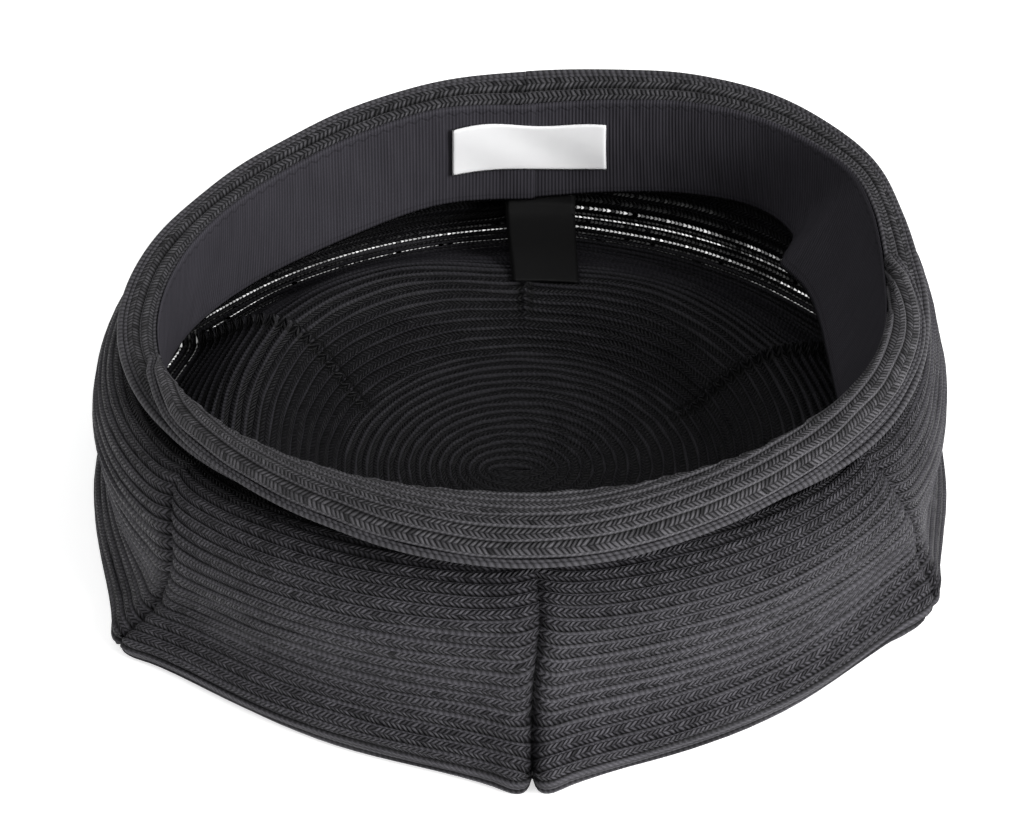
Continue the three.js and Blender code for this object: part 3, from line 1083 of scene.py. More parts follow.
@dataclass
class BraidedCrown:
    """The full crown: one braid wound from the middle of the tip to the neck, with six darts.

    Attributes:
        flat_radius: Radius of the flat middle of the tip.
        tip_round: Radius of the tip's turned edge.
        dome_skew: How far the loose tip's highest place lies towards its edge.
        corner_spread: How far round Z a dart's corner spreads, in degrees.
        neck_gap: Room between the wall's top and the edge's foot.
        wall: Thickness of the sewn braid at its crests.
        flat_rows: Rows on the flat middle.
        tip_rows: Rows from the middle to the tip's edge.
        wall_rows: Rows from the tip's edge to the neck.
        groove_width: How far from a dart its groove fades.
        full_groove: Depth of a groove with the full bulge and the darkest painted shade in its crease.
        bulge: How far the cloth stands out beside a full groove.
        bulge_place: How far beside a dart it stands out most, and the spread.
        ridge: Height of the darts' seams inside.
        ridge_width: Half width of those seams.
        dart_top: Share of the wall at which the darts end.
        raised: Where and how far the crown's edge is lifted off the floor.
        raised_run: Radius where that lift begins, and how far out it is whole.
        dent: Where and how deep the side wall is pressed in.
        dent_height: Share of the neck's height at which that dent is, and its spread.
        dip_height: Share of the wall at which the crown sinks in below the neck, and the spread.
        wall_rise: How far rows of the wall run up at a dart.
        tip_dip: How far rows of the tip run in at a dart.
        core: Half length of the braid's straight start.
        core_place: Where that start lies, from the crown's middle.
        sideways: Unevenness of the rows' places.
        outwards: Unevenness of the rows' heights.
        dents: Soft dents of the wall.
        finish: Finish of the outer face.
        inner_finish: Finish of the inner face: the same braid with a much darker strand colour as painted
            shade inside the cap, and strongly lightened row edges as painted highlight.
    """

    flat_radius: float = 48
    tip_round: float = 4
    dome_skew: float = 0.8
    corner_spread: float = 7
    neck_gap: float = 0.2
    wall: float = 1.8
    flat_rows: int = 15
    tip_rows: int = 38
    wall_rows: int = len(WALL_ROWS) - 1
    groove_width: float = 1.7
    full_groove: float = 3.6
    bulge: float = 1.8
    bulge_place: tuple[float, float] = (4.5, 3)
    ridge: float = 0.9
    ridge_width: float = 1.1
    dart_top: float = 0.74
    raised: Patch = Patch(56, 17, 5)
    raised_run: tuple[float, float] = (82, 34)
    dent: Patch = Patch(82, 16, 3.6)
    dent_height: tuple[float, float] = (0.8, 0.14)
    dip_height: tuple[float, float] = (0.92, 0.08)
    wall_rise: float = 3.0
    tip_dip: float = 1.3
    core: float = 4.3
    core_place: tuple[float, float] = (-2.9, -2.7)
    sideways: Wobble = Wobble(0.16, (6, 26), 3)
    outwards: Wobble = Wobble(0.14, (5, 19), 5)
    dents: Wobble = Wobble(0.55, (2, 7), 11)
    finish: BraidFinish = BraidFinish("straw_braid", hem=38.5)
    # The inner face's braid is painted much darker, as shade inside the cap, with a painted highlight on its
    # row edges.
    inner_finish: BraidFinish = BraidFinish(
        "straw_braid_inside_shaded", relief=0.4, edge=0.84, strand=(0.011, 0.0105, 0.0125), edge_highlight=1.7,
        daylight=True,
    )

    @property
    def rows(self) -> int:
        """Number of rows from the middle of the tip to the neck."""
        return self.tip_rows + self.wall_rows

    def columns(self) -> np.ndarray:
        """Gives the directions of the mesh's columns, close together at each dart.

        Returns:
            Rising directions, from -180 to 180.
        """
        angles = {-180.0, 180.0}
        ordered = sorted(dart.angle for dart in DARTS)
        for start, end in zip([ordered[-1] - 360] + ordered[:-1], ordered):
            near = [start] + [start + step for step in NEAR_STEPS] + [end - step for step in NEAR_STEPS]
            span = end - start - 2 * NEAR_STEPS[-1]
            parts = round(span / FAR_STEP)
            near += [start + NEAR_STEPS[-1] + span * i / parts for i in range(1, parts)]
            angles.update(float(turn(0, angle)) for angle in near)
        kept = sorted(angles)
        return np.array([a for i, a in enumerate(kept) if i == 0 or a - kept[i - 1] > SAME_ANGLE])

    def dart_distance(self, angles: np.ndarray) -> tuple[np.ndarray, np.ndarray]:
        """Gives the signed distance to the nearest dart, in degrees, and that dart's number.

        Args:
            angles: Directions.

        Returns:
            Distances and numbers, one for each direction.
        """
        apart = np.stack([turn(dart.angle, angles) for dart in DARTS])
        nearest = np.abs(apart).argmin(axis=0)
        return np.take_along_axis(apart, nearest[None], axis=0)[0], nearest

    def meridians(self, angles: np.ndarray) -> tuple[np.ndarray, np.ndarray]:
        """Draws the crown's outer face at each direction, without its grooves.

        Args:
            angles: Directions.

        Returns:
            Points as (directions, points, 2), and how deep a groove is at each, from 0 to 1.
        """
        away, nearest = self.dart_distance(angles)
        panel = around(PANELS, "reach", angles)
        corner = (of_darts("reach", nearest) - panel) * np.exp(-np.abs(away) / self.corner_spread)
        panel, corner, start = panel[:, None], corner[:, None], of_darts("start", nearest)[:, None]
        tip_end = panel + corner - self.tip_round
        lift = self.raised.at(angles)[:, None]
        flat = np.zeros((len(angles), FLAT_POINTS, 2))
        flat[..., 0] = np.linspace(0, self.flat_radius, FLAT_POINTS, endpoint=False)
        share = np.linspace(0, 1, TIP_POINTS)[None]
        radius = self.flat_radius + (tip_end - self.flat_radius) * share
        dome = around((*DARTS, *PANELS), "dome", angles)[:, None]
        tip = np.stack((radius, dome * np.sin(math.pi * share ** self.dome_skew) ** 2), axis=2)
        tip[..., 1] += lift * ramp(radius - self.raised_run[0], self.raised_run[1]) ** 2
        bend = np.linspace(0, math.pi / 2, EDGE_POINTS)[None, 1:]
        edge = np.stack((tip_end + self.tip_round * np.sin(bend),
                         self.tip_round * (1 - np.cos(bend)) + 0 * tip_end), axis=2)
        edge[..., 1] += lift
        side, kept = self.wall_line(angles, panel, corner, lift)
        deepening = ramp(radius - start, tip_end - start)
        groove = np.concatenate((np.zeros(flat.shape[:2]), deepening, np.ones(edge.shape[:2]), kept), axis=1)
        return np.concatenate((flat, tip, edge, side), axis=1), groove

    def wall_line(
        self, angles: np.ndarray, panel: np.ndarray, corner: np.ndarray, lift: np.ndarray
    ) -> tuple[np.ndarray, np.ndarray]:
        """Draws the side wall at each direction, from the tip's edge to the neck.

        Args:
            angles: Directions.
            panel: The panels' reach at the floor, as (directions, 1).
            corner: How far the darts' corners stand out from it.
            lift: How far the crown's edge is off the floor.

        Returns:
            Points as (directions, points, 2), and how much of the grooves is left at each.
        """
        neck = (around(OPENING, "neck", angles) - self.neck_gap)[:, None]
        neck_radius = around(OPENING, "radius", angles)[:, None]
        knots = np.arange(len(WALL), dtype=float)
        stop = np.linspace(0, len(WALL) - 1, WALL_POINTS)
        column = {key: spline(knots, np.array([getattr(row, key) for row in WALL], float), stop)[None]
                  for key in ("height", "inset", "corner", "neck", "groove")}
        pressed = bell(column["height"] - self.dent_height[0], self.dent_height[1])
        body = panel + corner * column["corner"] - column["inset"]
        body = body - self.dent.at(angles)[:, None] * pressed
        height = column["height"] * neck + lift * (1 - column["height"]) ** 2
        side = np.stack((body + (neck_radius - body) * column["neck"], height), axis=2)
        return side, np.repeat(column["groove"], len(angles), axis=0)

    def rows_to_length(self, rows: np.ndarray, line: np.ndarray) -> np.ndarray:
        """Turns places counted in rows into lengths along each meridian.

        Args:
            rows: Places as (directions, stations).
            line: The meridians' points.

        Returns:
            Lengths, as (directions, stations).
        """
        turned = FLAT_POINTS + TIP_POINTS - 1
        wall = np.array(WALL_ROWS)
        stops = np.concatenate(([0, self.flat_rows], self.tip_rows + np.arange(len(wall))))
        read = np.empty(rows.shape)
        for i, length in enumerate(lengths_of(line)):
            on_wall = length[turned] + wall * (length[-1] - length[turned])
            read[i] = np.interp(rows[i], stops, np.concatenate(([0, self.flat_radius], on_wall)))
        return read

    def places(self, station: np.ndarray) -> FacePlaces:
        """Finds where the points of a face lie.

        Args:
            station: Place of each station at the first column, counted in rows from the tip's middle.

        Returns:
            The face's places.
        """
        angles = self.columns()
        line, groove = self.meridians(angles)
        row = np.clip(station[None] + turns_of(angles)[:, None], 0, self.rows)
        length = self.rows_to_length(row, line)
        away, nearest = self.dart_distance(angles)
        radius = read_lines(line, np.zeros(row.shape), length)[..., 0]
        distance = np.abs(np.radians(away))[:, None] * np.maximum(radius, GROOVE_RADIUS)
        on_wall = np.clip((row - self.tip_rows) / self.wall_rows, 0, 1)
        whole = lengths_of(line)
        cut = np.stack([np.interp(length[i], whole[i], groove[i]) for i in range(len(angles))])
        cut *= ramp(self.dart_top - on_wall, 0.04)
        begun = ramp(radius - of_darts("start", nearest)[:, None], 6)
        depth = of_darts("groove", nearest)[:, None]
        return FacePlaces(angles, line, row, length, on_wall, distance, depth, cut, begun)

    def slide(self, at: FacePlaces) -> np.ndarray:
        """Gives how far the rows run along the wall towards the neck beside a dart.

        Args:
            at: The face's places.

        Returns:
            Lengths as (directions, stations).
        """
        upper = np.sin(math.pi * np.clip(at.on_wall * 1.05, 0, 1) ** 1.6)
        inwards = self.tip_dip * at.cut * at.on_tip * np.exp(-at.distance / 4)
        return self.wall_rise * upper * np.exp(-at.distance / 5) - inwards

    def pinch(self, at: FacePlaces, inside: bool) -> np.ndarray:
        """Gives how deep the darts' grooves are, with their raised seams on the inner face.

        Args:
            at: The face's places.
            inside: Whether it is the inner face.

        Returns:
            Depths as (directions, stations).
        """
        crease = np.exp(-at.distance / self.groove_width)
        depth = at.depth * at.cut * (1.35 * crease ** 1.6 + 0.22 * bell(at.distance, 4))
        if inside:
            bead = 0.75 + 0.25 * np.sin(2 * math.pi * at.row)
            depth += self.ridge * at.begun * at.on_tip * bell(at.distance, self.ridge_width) * bead
        return depth

    def neck_dip(self, at: FacePlaces) -> np.ndarray:
        """Gives how deep the crown sinks in just below the neck.

        Args:
            at: The face's places.

        Returns:
            Depths as (directions, stations).
        """
        middle, spread = self.dip_height
        dip = around(NECK_DIP, "depth", at.angles)[:, None] * bell(at.on_wall - middle, spread)
        return dip * ramp(1 - at.on_wall, 0.05)

    def crease_marks(self, at: FacePlaces, dip: np.ndarray, inside: bool) -> np.ndarray:
        """Marks where the braid gets painted shade, from 0 to 1: in the grooves and the dip below the neck,
        and on the inner face's tip beside the darts' raised seams instead of in its grooves.

        Args:
            at: The face's places.
            dip: Depth of the dip below the neck.
            inside: Whether it is the inner face.

        Returns:
            Marks as (directions, stations).
        """
        crease = np.exp(-at.distance / self.groove_width)
        marked = np.maximum(crease * at.cut * at.depth / self.full_groove, np.clip(dip / 5, 0, 1))
        if inside:
            # Painted shadow beside each raised seam on the inner face's tip.
            beside = bell(at.distance - 1.6, 0.9) * at.begun * at.on_tip
            marked = np.maximum(marked * (at.on_wall > 0), beside)
        return marked

    def sideways_shift(self, at: FacePlaces, radius: np.ndarray) -> np.ndarray:
        """Draws the tip's middle out round the braid's straight start, and swings the grooves round Z.

        Args:
            at: The face's places.
            radius: The points' radii, as (stations, directions).

        Returns:
            Moves in x and y, as (stations, directions, 2).
        """
        near = np.clip(1 - radius / self.flat_radius, 0, 1) ** 1.4
        direction = np.radians(at.angles)[None]
        start = np.stack((near * (self.core * np.sin(direction) + self.core_place[0]),
                          near * self.core_place[1] * np.ones_like(direction)), axis=2)
        sway = sum(dart.sway * bell(turn(dart.angle, at.angles)[:, None], SWAY_WIDTH)
                   * bell(at.on_wall - dart.sway_at, SWAY_HEIGHT) for dart in DARTS)
        swung = direction + np.radians(sway * ramp(at.on_wall, 0.08)).T
        return start + np.stack((radius * (np.sin(swung) - np.sin(direction)),
                                 radius * (np.cos(direction) - np.cos(swung))), axis=2)

    def face(self, profile: RowProfile, inside: bool) -> Surface:
        """Lays out one face of the crown.

        Args:
            profile: The rows' cross-section on this face.
            inside: Whether it is the inner face.

        Returns:
            The face's surface.
        """
        own, lifts = profile.stations(self.rows + 2)
        at = self.places(self.rows + 0.5 - own if inside else own - 1)
        lift = -self.wall - lifts[None] if inside else lifts[None]
        dip = self.neck_dip(at)
        beside, spread = self.bulge_place
        swell = self.bulge * at.depth / self.full_groove * at.cut
        swell = swell * bell(at.distance - beside, spread) * ramp(at.on_wall, 0.12)
        soft = self.dents.at(turns_of(at.angles)[:, None] + at.on_wall * 0.13) * at.on_wall
        fade = np.clip((self.rows - at.row) / 2, 0, 1) * np.clip((at.row - 1) / 3, 0, 1)
        lifted = lift - self.pinch(at, inside) - dip + swell * 0.6 + (self.outwards.at(at.row) + soft) * fade
        length = at.length + (self.slide(at) + self.sideways.at(at.row)) * fade
        points = read_lines(at.line, lifted, np.clip(length, 0, lengths_of(at.line)[:, -1:]))
        if not inside:
            points[..., 1] = np.maximum(points[..., 1], FLOOR_GAP)
        radius, height = points[..., 0].T, points[..., 1].T
        # The crease mark carries painted shade and the daylight mark painted light into the finishes.
        marks = {"daylight": self.daylight_marks(at.row, at.angles).T,
                 "crease": self.crease_marks(at, dip, inside).T}
        return Surface(radius, height, at.angles, own - (not inside), self.along(own, at, inside),
                       self.sideways_shift(at, radius), marks)

    def along(self, own: np.ndarray, at: FacePlaces, inside: bool) -> np.ndarray:
        """Measures the length along the braid, wound on without a break from row to row.

        Args:
            own: The face's stations, counted in its own rows.
            at: The face's places.
            inside: Whether it is the inner face.

        Returns:
            The length for each row of faces, as (stations - 1, columns).
        """
        middles = np.arange(-1, self.rows + 1)[None] + 0.5 + turns_of(at.angles)[:, None]
        lengths = self.rows_to_length(np.clip(middles, 0, self.rows), at.line)
        points = read_lines(at.line, np.zeros(lengths.shape), lengths)
        direction = np.radians(at.angles)[:, None]
        place = np.stack((points[..., 0] * np.sin(direction), -points[..., 0] * np.cos(direction),
                          points[..., 1]), axis=2)
        steps = np.linalg.norm(np.diff(place, axis=0), axis=2)
        within = np.pad(np.cumsum(steps, axis=0), ((1, 0), (0, 0))).T
        before = np.concatenate(([0], np.cumsum(within[:-1, -1])))
        wound = within + before[:, None]
        number = np.floor(own[:-1] + 1e-6).astype(int)
        return wound[self.rows + 1 - number] if inside else wound[number]

    def daylight_marks(self, row: np.ndarray, angles: np.ndarray) -> np.ndarray:
        """Marks where the stitch holes get painted light, low on the back of the wall.

        Args:
            row: Places as (directions, stations), counted in rows from the tip's middle.
            angles: The columns' directions.

        Returns:
            Marks from 0 to 1 in the same shape.
        """
        right = ramp(angles - 96, 14) * ramp(177 - angles, 3)
        left = ramp(-97 - angles, 8) * ramp(angles + 178, 3)
        low = self.tip_rows - 1.2 * ramp(150 - angles, 40)[:, None]
        right_rows = np.clip(row - low, 0, 1) * ramp(low + 8 - row, 3)
        left_rows = np.clip(row - self.tip_rows + 3, 0, 1) * ramp(self.tip_rows + 3 - row, 1.5)
        return right[:, None] * right_rows + left[:, None] * left_rows

    def build(self) -> bpy.types.Object:
        """Builds the crown as one closed wall with its two faces' finishes.

        Returns:
            The crown.
        """
        outer = self.face(FINE_ROW, inside=False)
        inner = self.face(PLAIN_ROW, inside=True)
        for axis in ("radius", "height"):
            one, two = getattr(outer, axis), getattr(inner, axis)
            one[-1] = two[0] = (one[-1] + two[0]) / 2
        faces = [outer.lay("crown_braid"), inner.lay("crown_inside")]
        self.finish.dress(faces[0])
        self.inner_finish.dress(faces[1])
        piece = joined(faces, "crown_braid")
        weld(piece)
        return piece


def swept_length(radius: np.ndarray, height: np.ndarray, angles: np.ndarray) -> np.ndarray:
    """Measures the length along a curve that goes round Z, up to each of its points.

    Args:
        radius: Distance of each point from the axis.
        height: Its height.
        angles: Its direction.

    Returns:
        Lengths, one for each point.
    """
    direction = np.radians(angles)
    place = np.stack((radius * np.sin(direction), -radius * np.cos(direction), height), axis=1)
    steps = np.linalg.norm(np.diff(place, axis=0), axis=1)
    return np.concatenate(([0], np.cumsum(steps)))


def along_rows(length: np.ndarray, rows: int) -> np.ndarray:
    """Repeats the lengths along a piece for each of its rows of faces, as (rows - 1, columns)."""
    return np.repeat(length[None], rows - 1, axis=0)


@dataclass(frozen=True)
class CordSeat:
    """Where an edge cord lies.

    Attributes:
        back: How far in from the edge its middle is.
        lift: How far off the middle of the wall it is.
        radius: The cord's own radius.
    """

    back: float
    lift: float
    radius: float

    def build(self, name: str, place: np.ndarray, angles: np.ndarray, ends: Ends) -> bpy.types.Object:
        """Builds the cord, a round tube round Z.

        Args:
            name: The new object's name.
            place: Radius and height of its middle at each direction, as (directions, 2).
            angles: The directions.
            ends: Whether it goes all the way round.

        Returns:
            The cord, closed.
        """
        bend = np.linspace(0, 2 * math.pi, CORD_SIDES + 1)[:, None]
        reach, height = place[:, 0], place[:, 1]
        round_it = self.radius * np.ones_like(reach)
        if ends is Ends.OPEN:
            number = np.arange(len(angles))
            round_it = round_it * np.clip(np.minimum(number, number[::-1]) / CORD_TAPER, 0.02, 1)
        along = along_rows(swept_length(reach, height, angles), CORD_SIDES + 1)
        cord = Surface(reach + round_it * np.cos(bend), height + round_it * np.sin(bend), angles,
                       np.linspace(0, 1, CORD_SIDES + 1), along).lay(name)
        weld(cord)
        return cord


@dataclass
class OpeningEdge:
    """The narrow edge that flares round the head opening: two bold rows between smooth cords.

    Attributes:
        seam_rise: How far its foot stands above the crown's wall.
        tuck: How far its foot lies in from the crown's wall.
        reach_share: How far it goes out, as a share of the way to the table's reach.
        longer: Where it goes out further.
        shorter: Where it goes out less.
        bow: How far it bows up between its foot and its rim.
        wall: Its thickness.
        columns: How many columns of points go round it.
        cord_room: Width left for the cords along the rim.
        places: Places of the points across a row.
        lifts: Their heights.
        rim_cords: The cords along the rim.
        foot_cord: The cord along the foot, measured from there.
        sideways: Unevenness of its rows and cords.
        finish: Finish of the bold rows.
        cord_finish: Finish of the cords.
    """

    seam_rise: float = 0.15
    tuck: float = 1.2
    reach_share: float = 1.11
    longer: Patch = Patch(-100, 32, 0.09)
    shorter: Patch = Patch(78, 42, 0.13)
    bow: float = 0.5
    wall: float = 1.5
    columns: int = 420
    cord_room: float = 1.75
    places: tuple[float, ...] = (0.0, 0.12, 0.35, 0.65, 0.88)
    lifts: tuple[float, ...] = (-0.5, -0.05, 0.12, 0.12, -0.05)
    rim_cords: tuple[CordSeat, ...] = (CordSeat(1.65, -0.3, 0.6), CordSeat(0.3, 0.0, 0.95))
    foot_cord: CordSeat = CordSeat(0.1, -0.6, 0.6)
    sideways: Wobble = Wobble(0.12, (6, 22), 21)
    finish: BraidFinish = BraidFinish(
        "bold_braid", pitch=1.35, slant=1.1, middle=0.5, edge=0.94, relief=0.5,
        strand=(0.085, 0.083, 0.09),
    )
    cord_finish: CordFinish = CordFinish("edge_cord")

    def line(self, angles: np.ndarray) -> np.ndarray:
        """Draws the middle of the edge's wall at each direction, as (directions, points, 2).

        Args:
            angles: Directions.

        Returns:
            The line's points, from the foot to the rim.
        """
        reached = self.reach_share + self.longer.at(angles) - self.shorter.at(angles)
        share = reached[:, None] * np.linspace(0, 1, LINE_POINTS)
        start = around(OPENING, "radius", angles)[:, None] - self.tuck
        foot = around(OPENING, "neck", angles)[:, None] + self.seam_rise
        reach = around(OPENING, "reach", angles)[:, None]
        top = around(OPENING, "top", angles)[:, None]
        bow = self.bow * np.sin(math.pi * share)
        return np.stack((start + (reach - start) * share - bow, foot + (top - foot) * share + bow), axis=2)

    def face(self, line: np.ndarray, angles: np.ndarray, inside: bool) -> Surface:
        """Lays out one face of two bold rows.

        Args:
            line: The wall's middle.
            angles: The columns' directions.
            inside: Whether it is the face towards the opening.

        Returns:
            The face's surface.
        """
        total = lengths_of(line)[:, -1]
        order = np.concatenate([np.array(self.places) + band for band in range(2)] + [[2.0]])
        side = self.wall / 2 + np.array([*self.lifts, *self.lifts, self.lifts[0]])
        if inside:
            order, side = order[::-1], -side[::-1]
        room = total - self.cord_room
        lengths = np.interp(order, (0, 2), (0, 1))[None] * room[:, None]
        turns = (angles / 360)[:, None]
        lengths = lengths + self.sideways.at(turns + np.floor(order)[None] * 0.31)
        points = read_lines(line, np.repeat(side[None], len(angles), axis=0),
                            np.clip(lengths, 0, total[:, None]))
        middle = line[:, LINE_POINTS // 2]
        along = along_rows(swept_length(middle[:, 0], middle[:, 1], angles), len(order))
        return Surface(points[..., 0].T, points[..., 1].T, angles, order, along)

    def build(self) -> bpy.types.Object:
        """Builds the edge: its two-faced wall and its cords.

        Returns:
            The edge as one piece.
        """
        angles = np.linspace(-180, 180, self.columns)
        line = self.line(angles)
        wall = shell("opening_edge", self.face(line, angles, False), self.face(line, angles, True),
                     Ends.WHOLE_TURN)
        self.finish.dress(wall)
        total = lengths_of(line)[:, -1:]
        parts = [wall]
        for number, seat in enumerate(self.rim_cords):
            place = read_lines(line, np.full_like(total, seat.lift), total - seat.back)[:, 0]
            place += self.sideways.at(angles / 360 + number)[:, None] * (0.5, 0.5)
            parts.append(seat.build(f"edge_cord_{number}", place, angles, Ends.WHOLE_TURN))
        foot = self.foot_cord
        place = read_lines(line, np.full_like(total, foot.lift), np.full_like(total, foot.back))[:, 0]
        parts.append(foot.build("edge_cord_inner", place, angles, Ends.WHOLE_TURN))
        self.cord_finish.dress(*parts[1:])
        return joined(parts, "opening_edge")


@dataclass
class TurnedPeak:
    """The short peak, turned over the front of the edge: rows of braid and two edge cords.

    Attributes:
        wall: Its thickness.
        root_inset: How far its root lies in from the crown's wall.
        root_rise: How far its root stands above the crown's wall.
        min_stand: Least height of its fold above the root.
        fold_set: How far its fold lies out from the root.
        arch_skew: How far its arch leans towards its outer edge.
        columns: How many columns of points go round it.
        cord_room: Width left for the cords along its outer edge.
        bold_width: Width of its outermost row.
        row_count: Number of its other rows.
        cords: The cords along its outer edge.
        sideways: Unevenness of the rows' and the cords' places.
        outwards: Unevenness of the rows' heights.
        finish: Finish of the rows.
        cord_finish: Finish of the cords.
    """

    wall: float = 1.4
    root_inset: float = 1.4
    root_rise: float = 1.2
    min_stand: float = 0.8
    fold_set: float = 0.7
    arch_skew: float = 1.25
    columns: int = 320
    cord_room: float = 1.7
    bold_width: float = 3.9
    row_count: int = 8
    cords: tuple[CordSeat, ...] = (CordSeat(1.15, -0.1, 0.5), CordSeat(0.25, 0.1, 0.6))
    sideways: Wobble = Wobble(0.14, (8, 30), 31)
    outwards: Wobble = Wobble(0.12, (6, 20), 33)
    finish: BraidFinish = BraidFinish("peak_braid", relief=0.45, strand=(0.094, 0.091, 0.099))
    cord_finish: CordFinish = CordFinish("peak_cord")

    def line(self, angles: np.ndarray) -> np.ndarray:
        """Draws the middle of the peak's wall from its cord to its root, as (directions, points, 2).

        Args:
            angles: Directions.

        Returns:
            The line's points.
        """
        root = around(OPENING, "neck", angles) + self.root_rise
        fold = np.maximum(around(PEAK, "fold", angles, False), root + self.min_stand)[:, None]
        root = root[:, None]
        reach = around(PEAK, "reach", angles, False)[:, None]
        drop = around(PEAK, "drop", angles, False)[:, None]
        arch = around(PEAK, "arch", angles, False)[:, None]
        foot = around(OPENING, "radius", angles)[:, None] - self.root_inset
        share = np.linspace(1, 0, 50)[None]
        arched = arch * np.sin(math.pi * share ** self.arch_skew)
        back = np.stack((foot + self.fold_set + (reach - foot - self.fold_set) * share,
                         fold + (drop - fold) * share + arched), axis=2)
        low = np.linspace(0.85, 0, 8)[None]
        stand = np.stack((foot + self.fold_set * low ** 2, root + (fold - root) * low), axis=2)
        return np.concatenate((back, stand), axis=1)

    def face(self, line: np.ndarray, angles: np.ndarray, under: bool) -> Surface:
        """Lays out one face, with its rows counted from the outer edge and run out at the root.

        Args:
            line: The wall's middle, from the cord to the root.
            angles: The columns' directions.
            under: Whether it is the under face.

        Returns:
            The face's surface.
        """
        last = self.row_count + 1
        own, lifts = FINE_ROW.stations(last)
        total = lengths_of(line)[:, -1:]
        inward = last - own
        begin = self.cord_room + self.bold_width
        stops = (self.cord_room, begin, begin + self.row_count * BRAID_PITCH)
        lengths = np.interp(inward, (0, 1, last), stops)[None] + np.zeros_like(total)
        turns = (angles / 360)[:, None]
        lengths = lengths + self.sideways.at(turns + np.floor(inward)[None] * 0.29)
        uneven = self.outwards.at(turns + lengths * 0.01)
        side = -(self.wall / 2 + lifts)
        if under:
            own, side, lengths = own[::-1], self.wall / 2 + lifts[::-1] * 0.6, lengths[:, ::-1]
        points = read_lines(line, side[None] + uneven, np.clip(lengths, 0, total))
        middle = line[:, 12]
        along = along_rows(swept_length(middle[:, 0], middle[:, 1], angles), len(own))
        return Surface(points[..., 0].T, points[..., 1].T, angles, own, along)

    def build(self) -> bpy.types.Object:
        """Builds the peak: its two-faced wall and its two edge cords.

        Returns:
            The peak as one piece.
        """
        angles = np.linspace(PEAK[0].angle, PEAK[-1].angle, self.columns)
        line = self.line(angles)
        wall = shell("turned_peak", self.face(line, angles, False), self.face(line, angles, True), Ends.OPEN)
        self.finish.dress(wall)
        parts = [wall]
        every = np.ones((len(angles), 1))
        for number, seat in enumerate(self.cords):
            place = read_lines(line, seat.lift * every, seat.back * every)[:, 0]
            place += self.sideways.at(angles / 360 * 1.3 + number)[:, None] * (0.5, 0.7)
            parts.append(seat.build(f"peak_cord_{number}", place, angles, Ends.OPEN))
        self.cord_finish.dress(*parts[1:])
        return joined(parts, "turned_peak")


@dataclass
class Sweatband:
    """The ribbon inside the opening, sewn along its top and loose below, with lapped ends.

    Attributes:
        width: Its width.
        wall: Its thickness.
        inset: How far its top lies in from the crown's wall.
        rise: How far its top stands above the crown's wall.
        curl: How late below its top it leans out or in.
        fold_at: Direction of the fold at the right.
        fold_slant: How far that fold slants over the ribbon's width, in degrees.
        lap_at: Direction where the ribbon begins.
        lap: How far its ends lap, in degrees.
        lap_lift: How far its upper end lies off its lower end.
        columns: How many columns of points go round it.
        rows: How many rows of points go down it.
        finish: Its finish.
    """

    width: float = 33
    wall: float = 0.6
    inset: float = 1.7
    rise: float = 1.6
    curl: float = 1.6
    fold_at: float = 120
    fold_slant: float = 12.5
    lap_at: float = 178.2
    lap: float = 3.6
    lap_lift: float = 0.75
    columns: int = 420
    rows: int = 26
    finish: RibbonFinish = RibbonFinish("grosgrain")

    def place(self, angles: np.ndarray, share: np.ndarray) -> tuple[np.ndarray, np.ndarray]:
        """Gives the outer face's radius and height at directions and shares of the width.

        Args:
            angles: Directions.
            share: Shares of the width, from the sewn top to the loose lower edge.

        Returns:
            Radii and heights.
        """
        top = around(OPENING, "neck", angles) + self.rise
        radius = around(OPENING, "radius", angles) - self.inset
        near_fold = np.clip(1 - np.abs(turn(self.fold_at, angles)) / 40, 0, 1) ** 0.5
        lean = around(SWEATBAND, "lean", angles + self.fold_slant * (1 - share) * near_fold)
        return radius + lean * share ** self.curl, top - self.width * share

    def face(self, angles: np.ndarray, depth: float, inside: bool) -> Surface:
        """Lays out one face of the ribbon at a depth inwards from its place.

        Args:
            angles: The columns' directions.
            depth: How far in from its place the face lies.
            inside: Whether it is the face towards the head.

        Returns:
            The face's surface.
        """
        shares = np.linspace(0, 1, self.rows) if inside else np.linspace(1, 0, self.rows)
        lapped = np.clip(1 - (angles - angles[0]) / 8, 0, 1)
        radius, height = self.place(angles[None], shares[:, None])
        radius = radius - depth - self.lap_lift * lapped ** 2 * (3 - 2 * lapped)
        along = along_rows(swept_length(radius[0], height[0], angles), self.rows)
        return Surface(radius, height, angles, shares, along)

    def build(self) -> bpy.types.Object:
        """Builds the ribbon as one closed sheet.

        Returns:
            The ribbon.
        """
        angles = np.linspace(self.lap_at, self.lap_at + 360 + self.lap, self.columns)
        piece = shell("ribbon_band", self.face(angles, RIBBON_GAP, False),
                      self.face(angles, RIBBON_GAP + self.wall, True), Ends.OPEN)
        self.finish.dress(piece)
        return piece


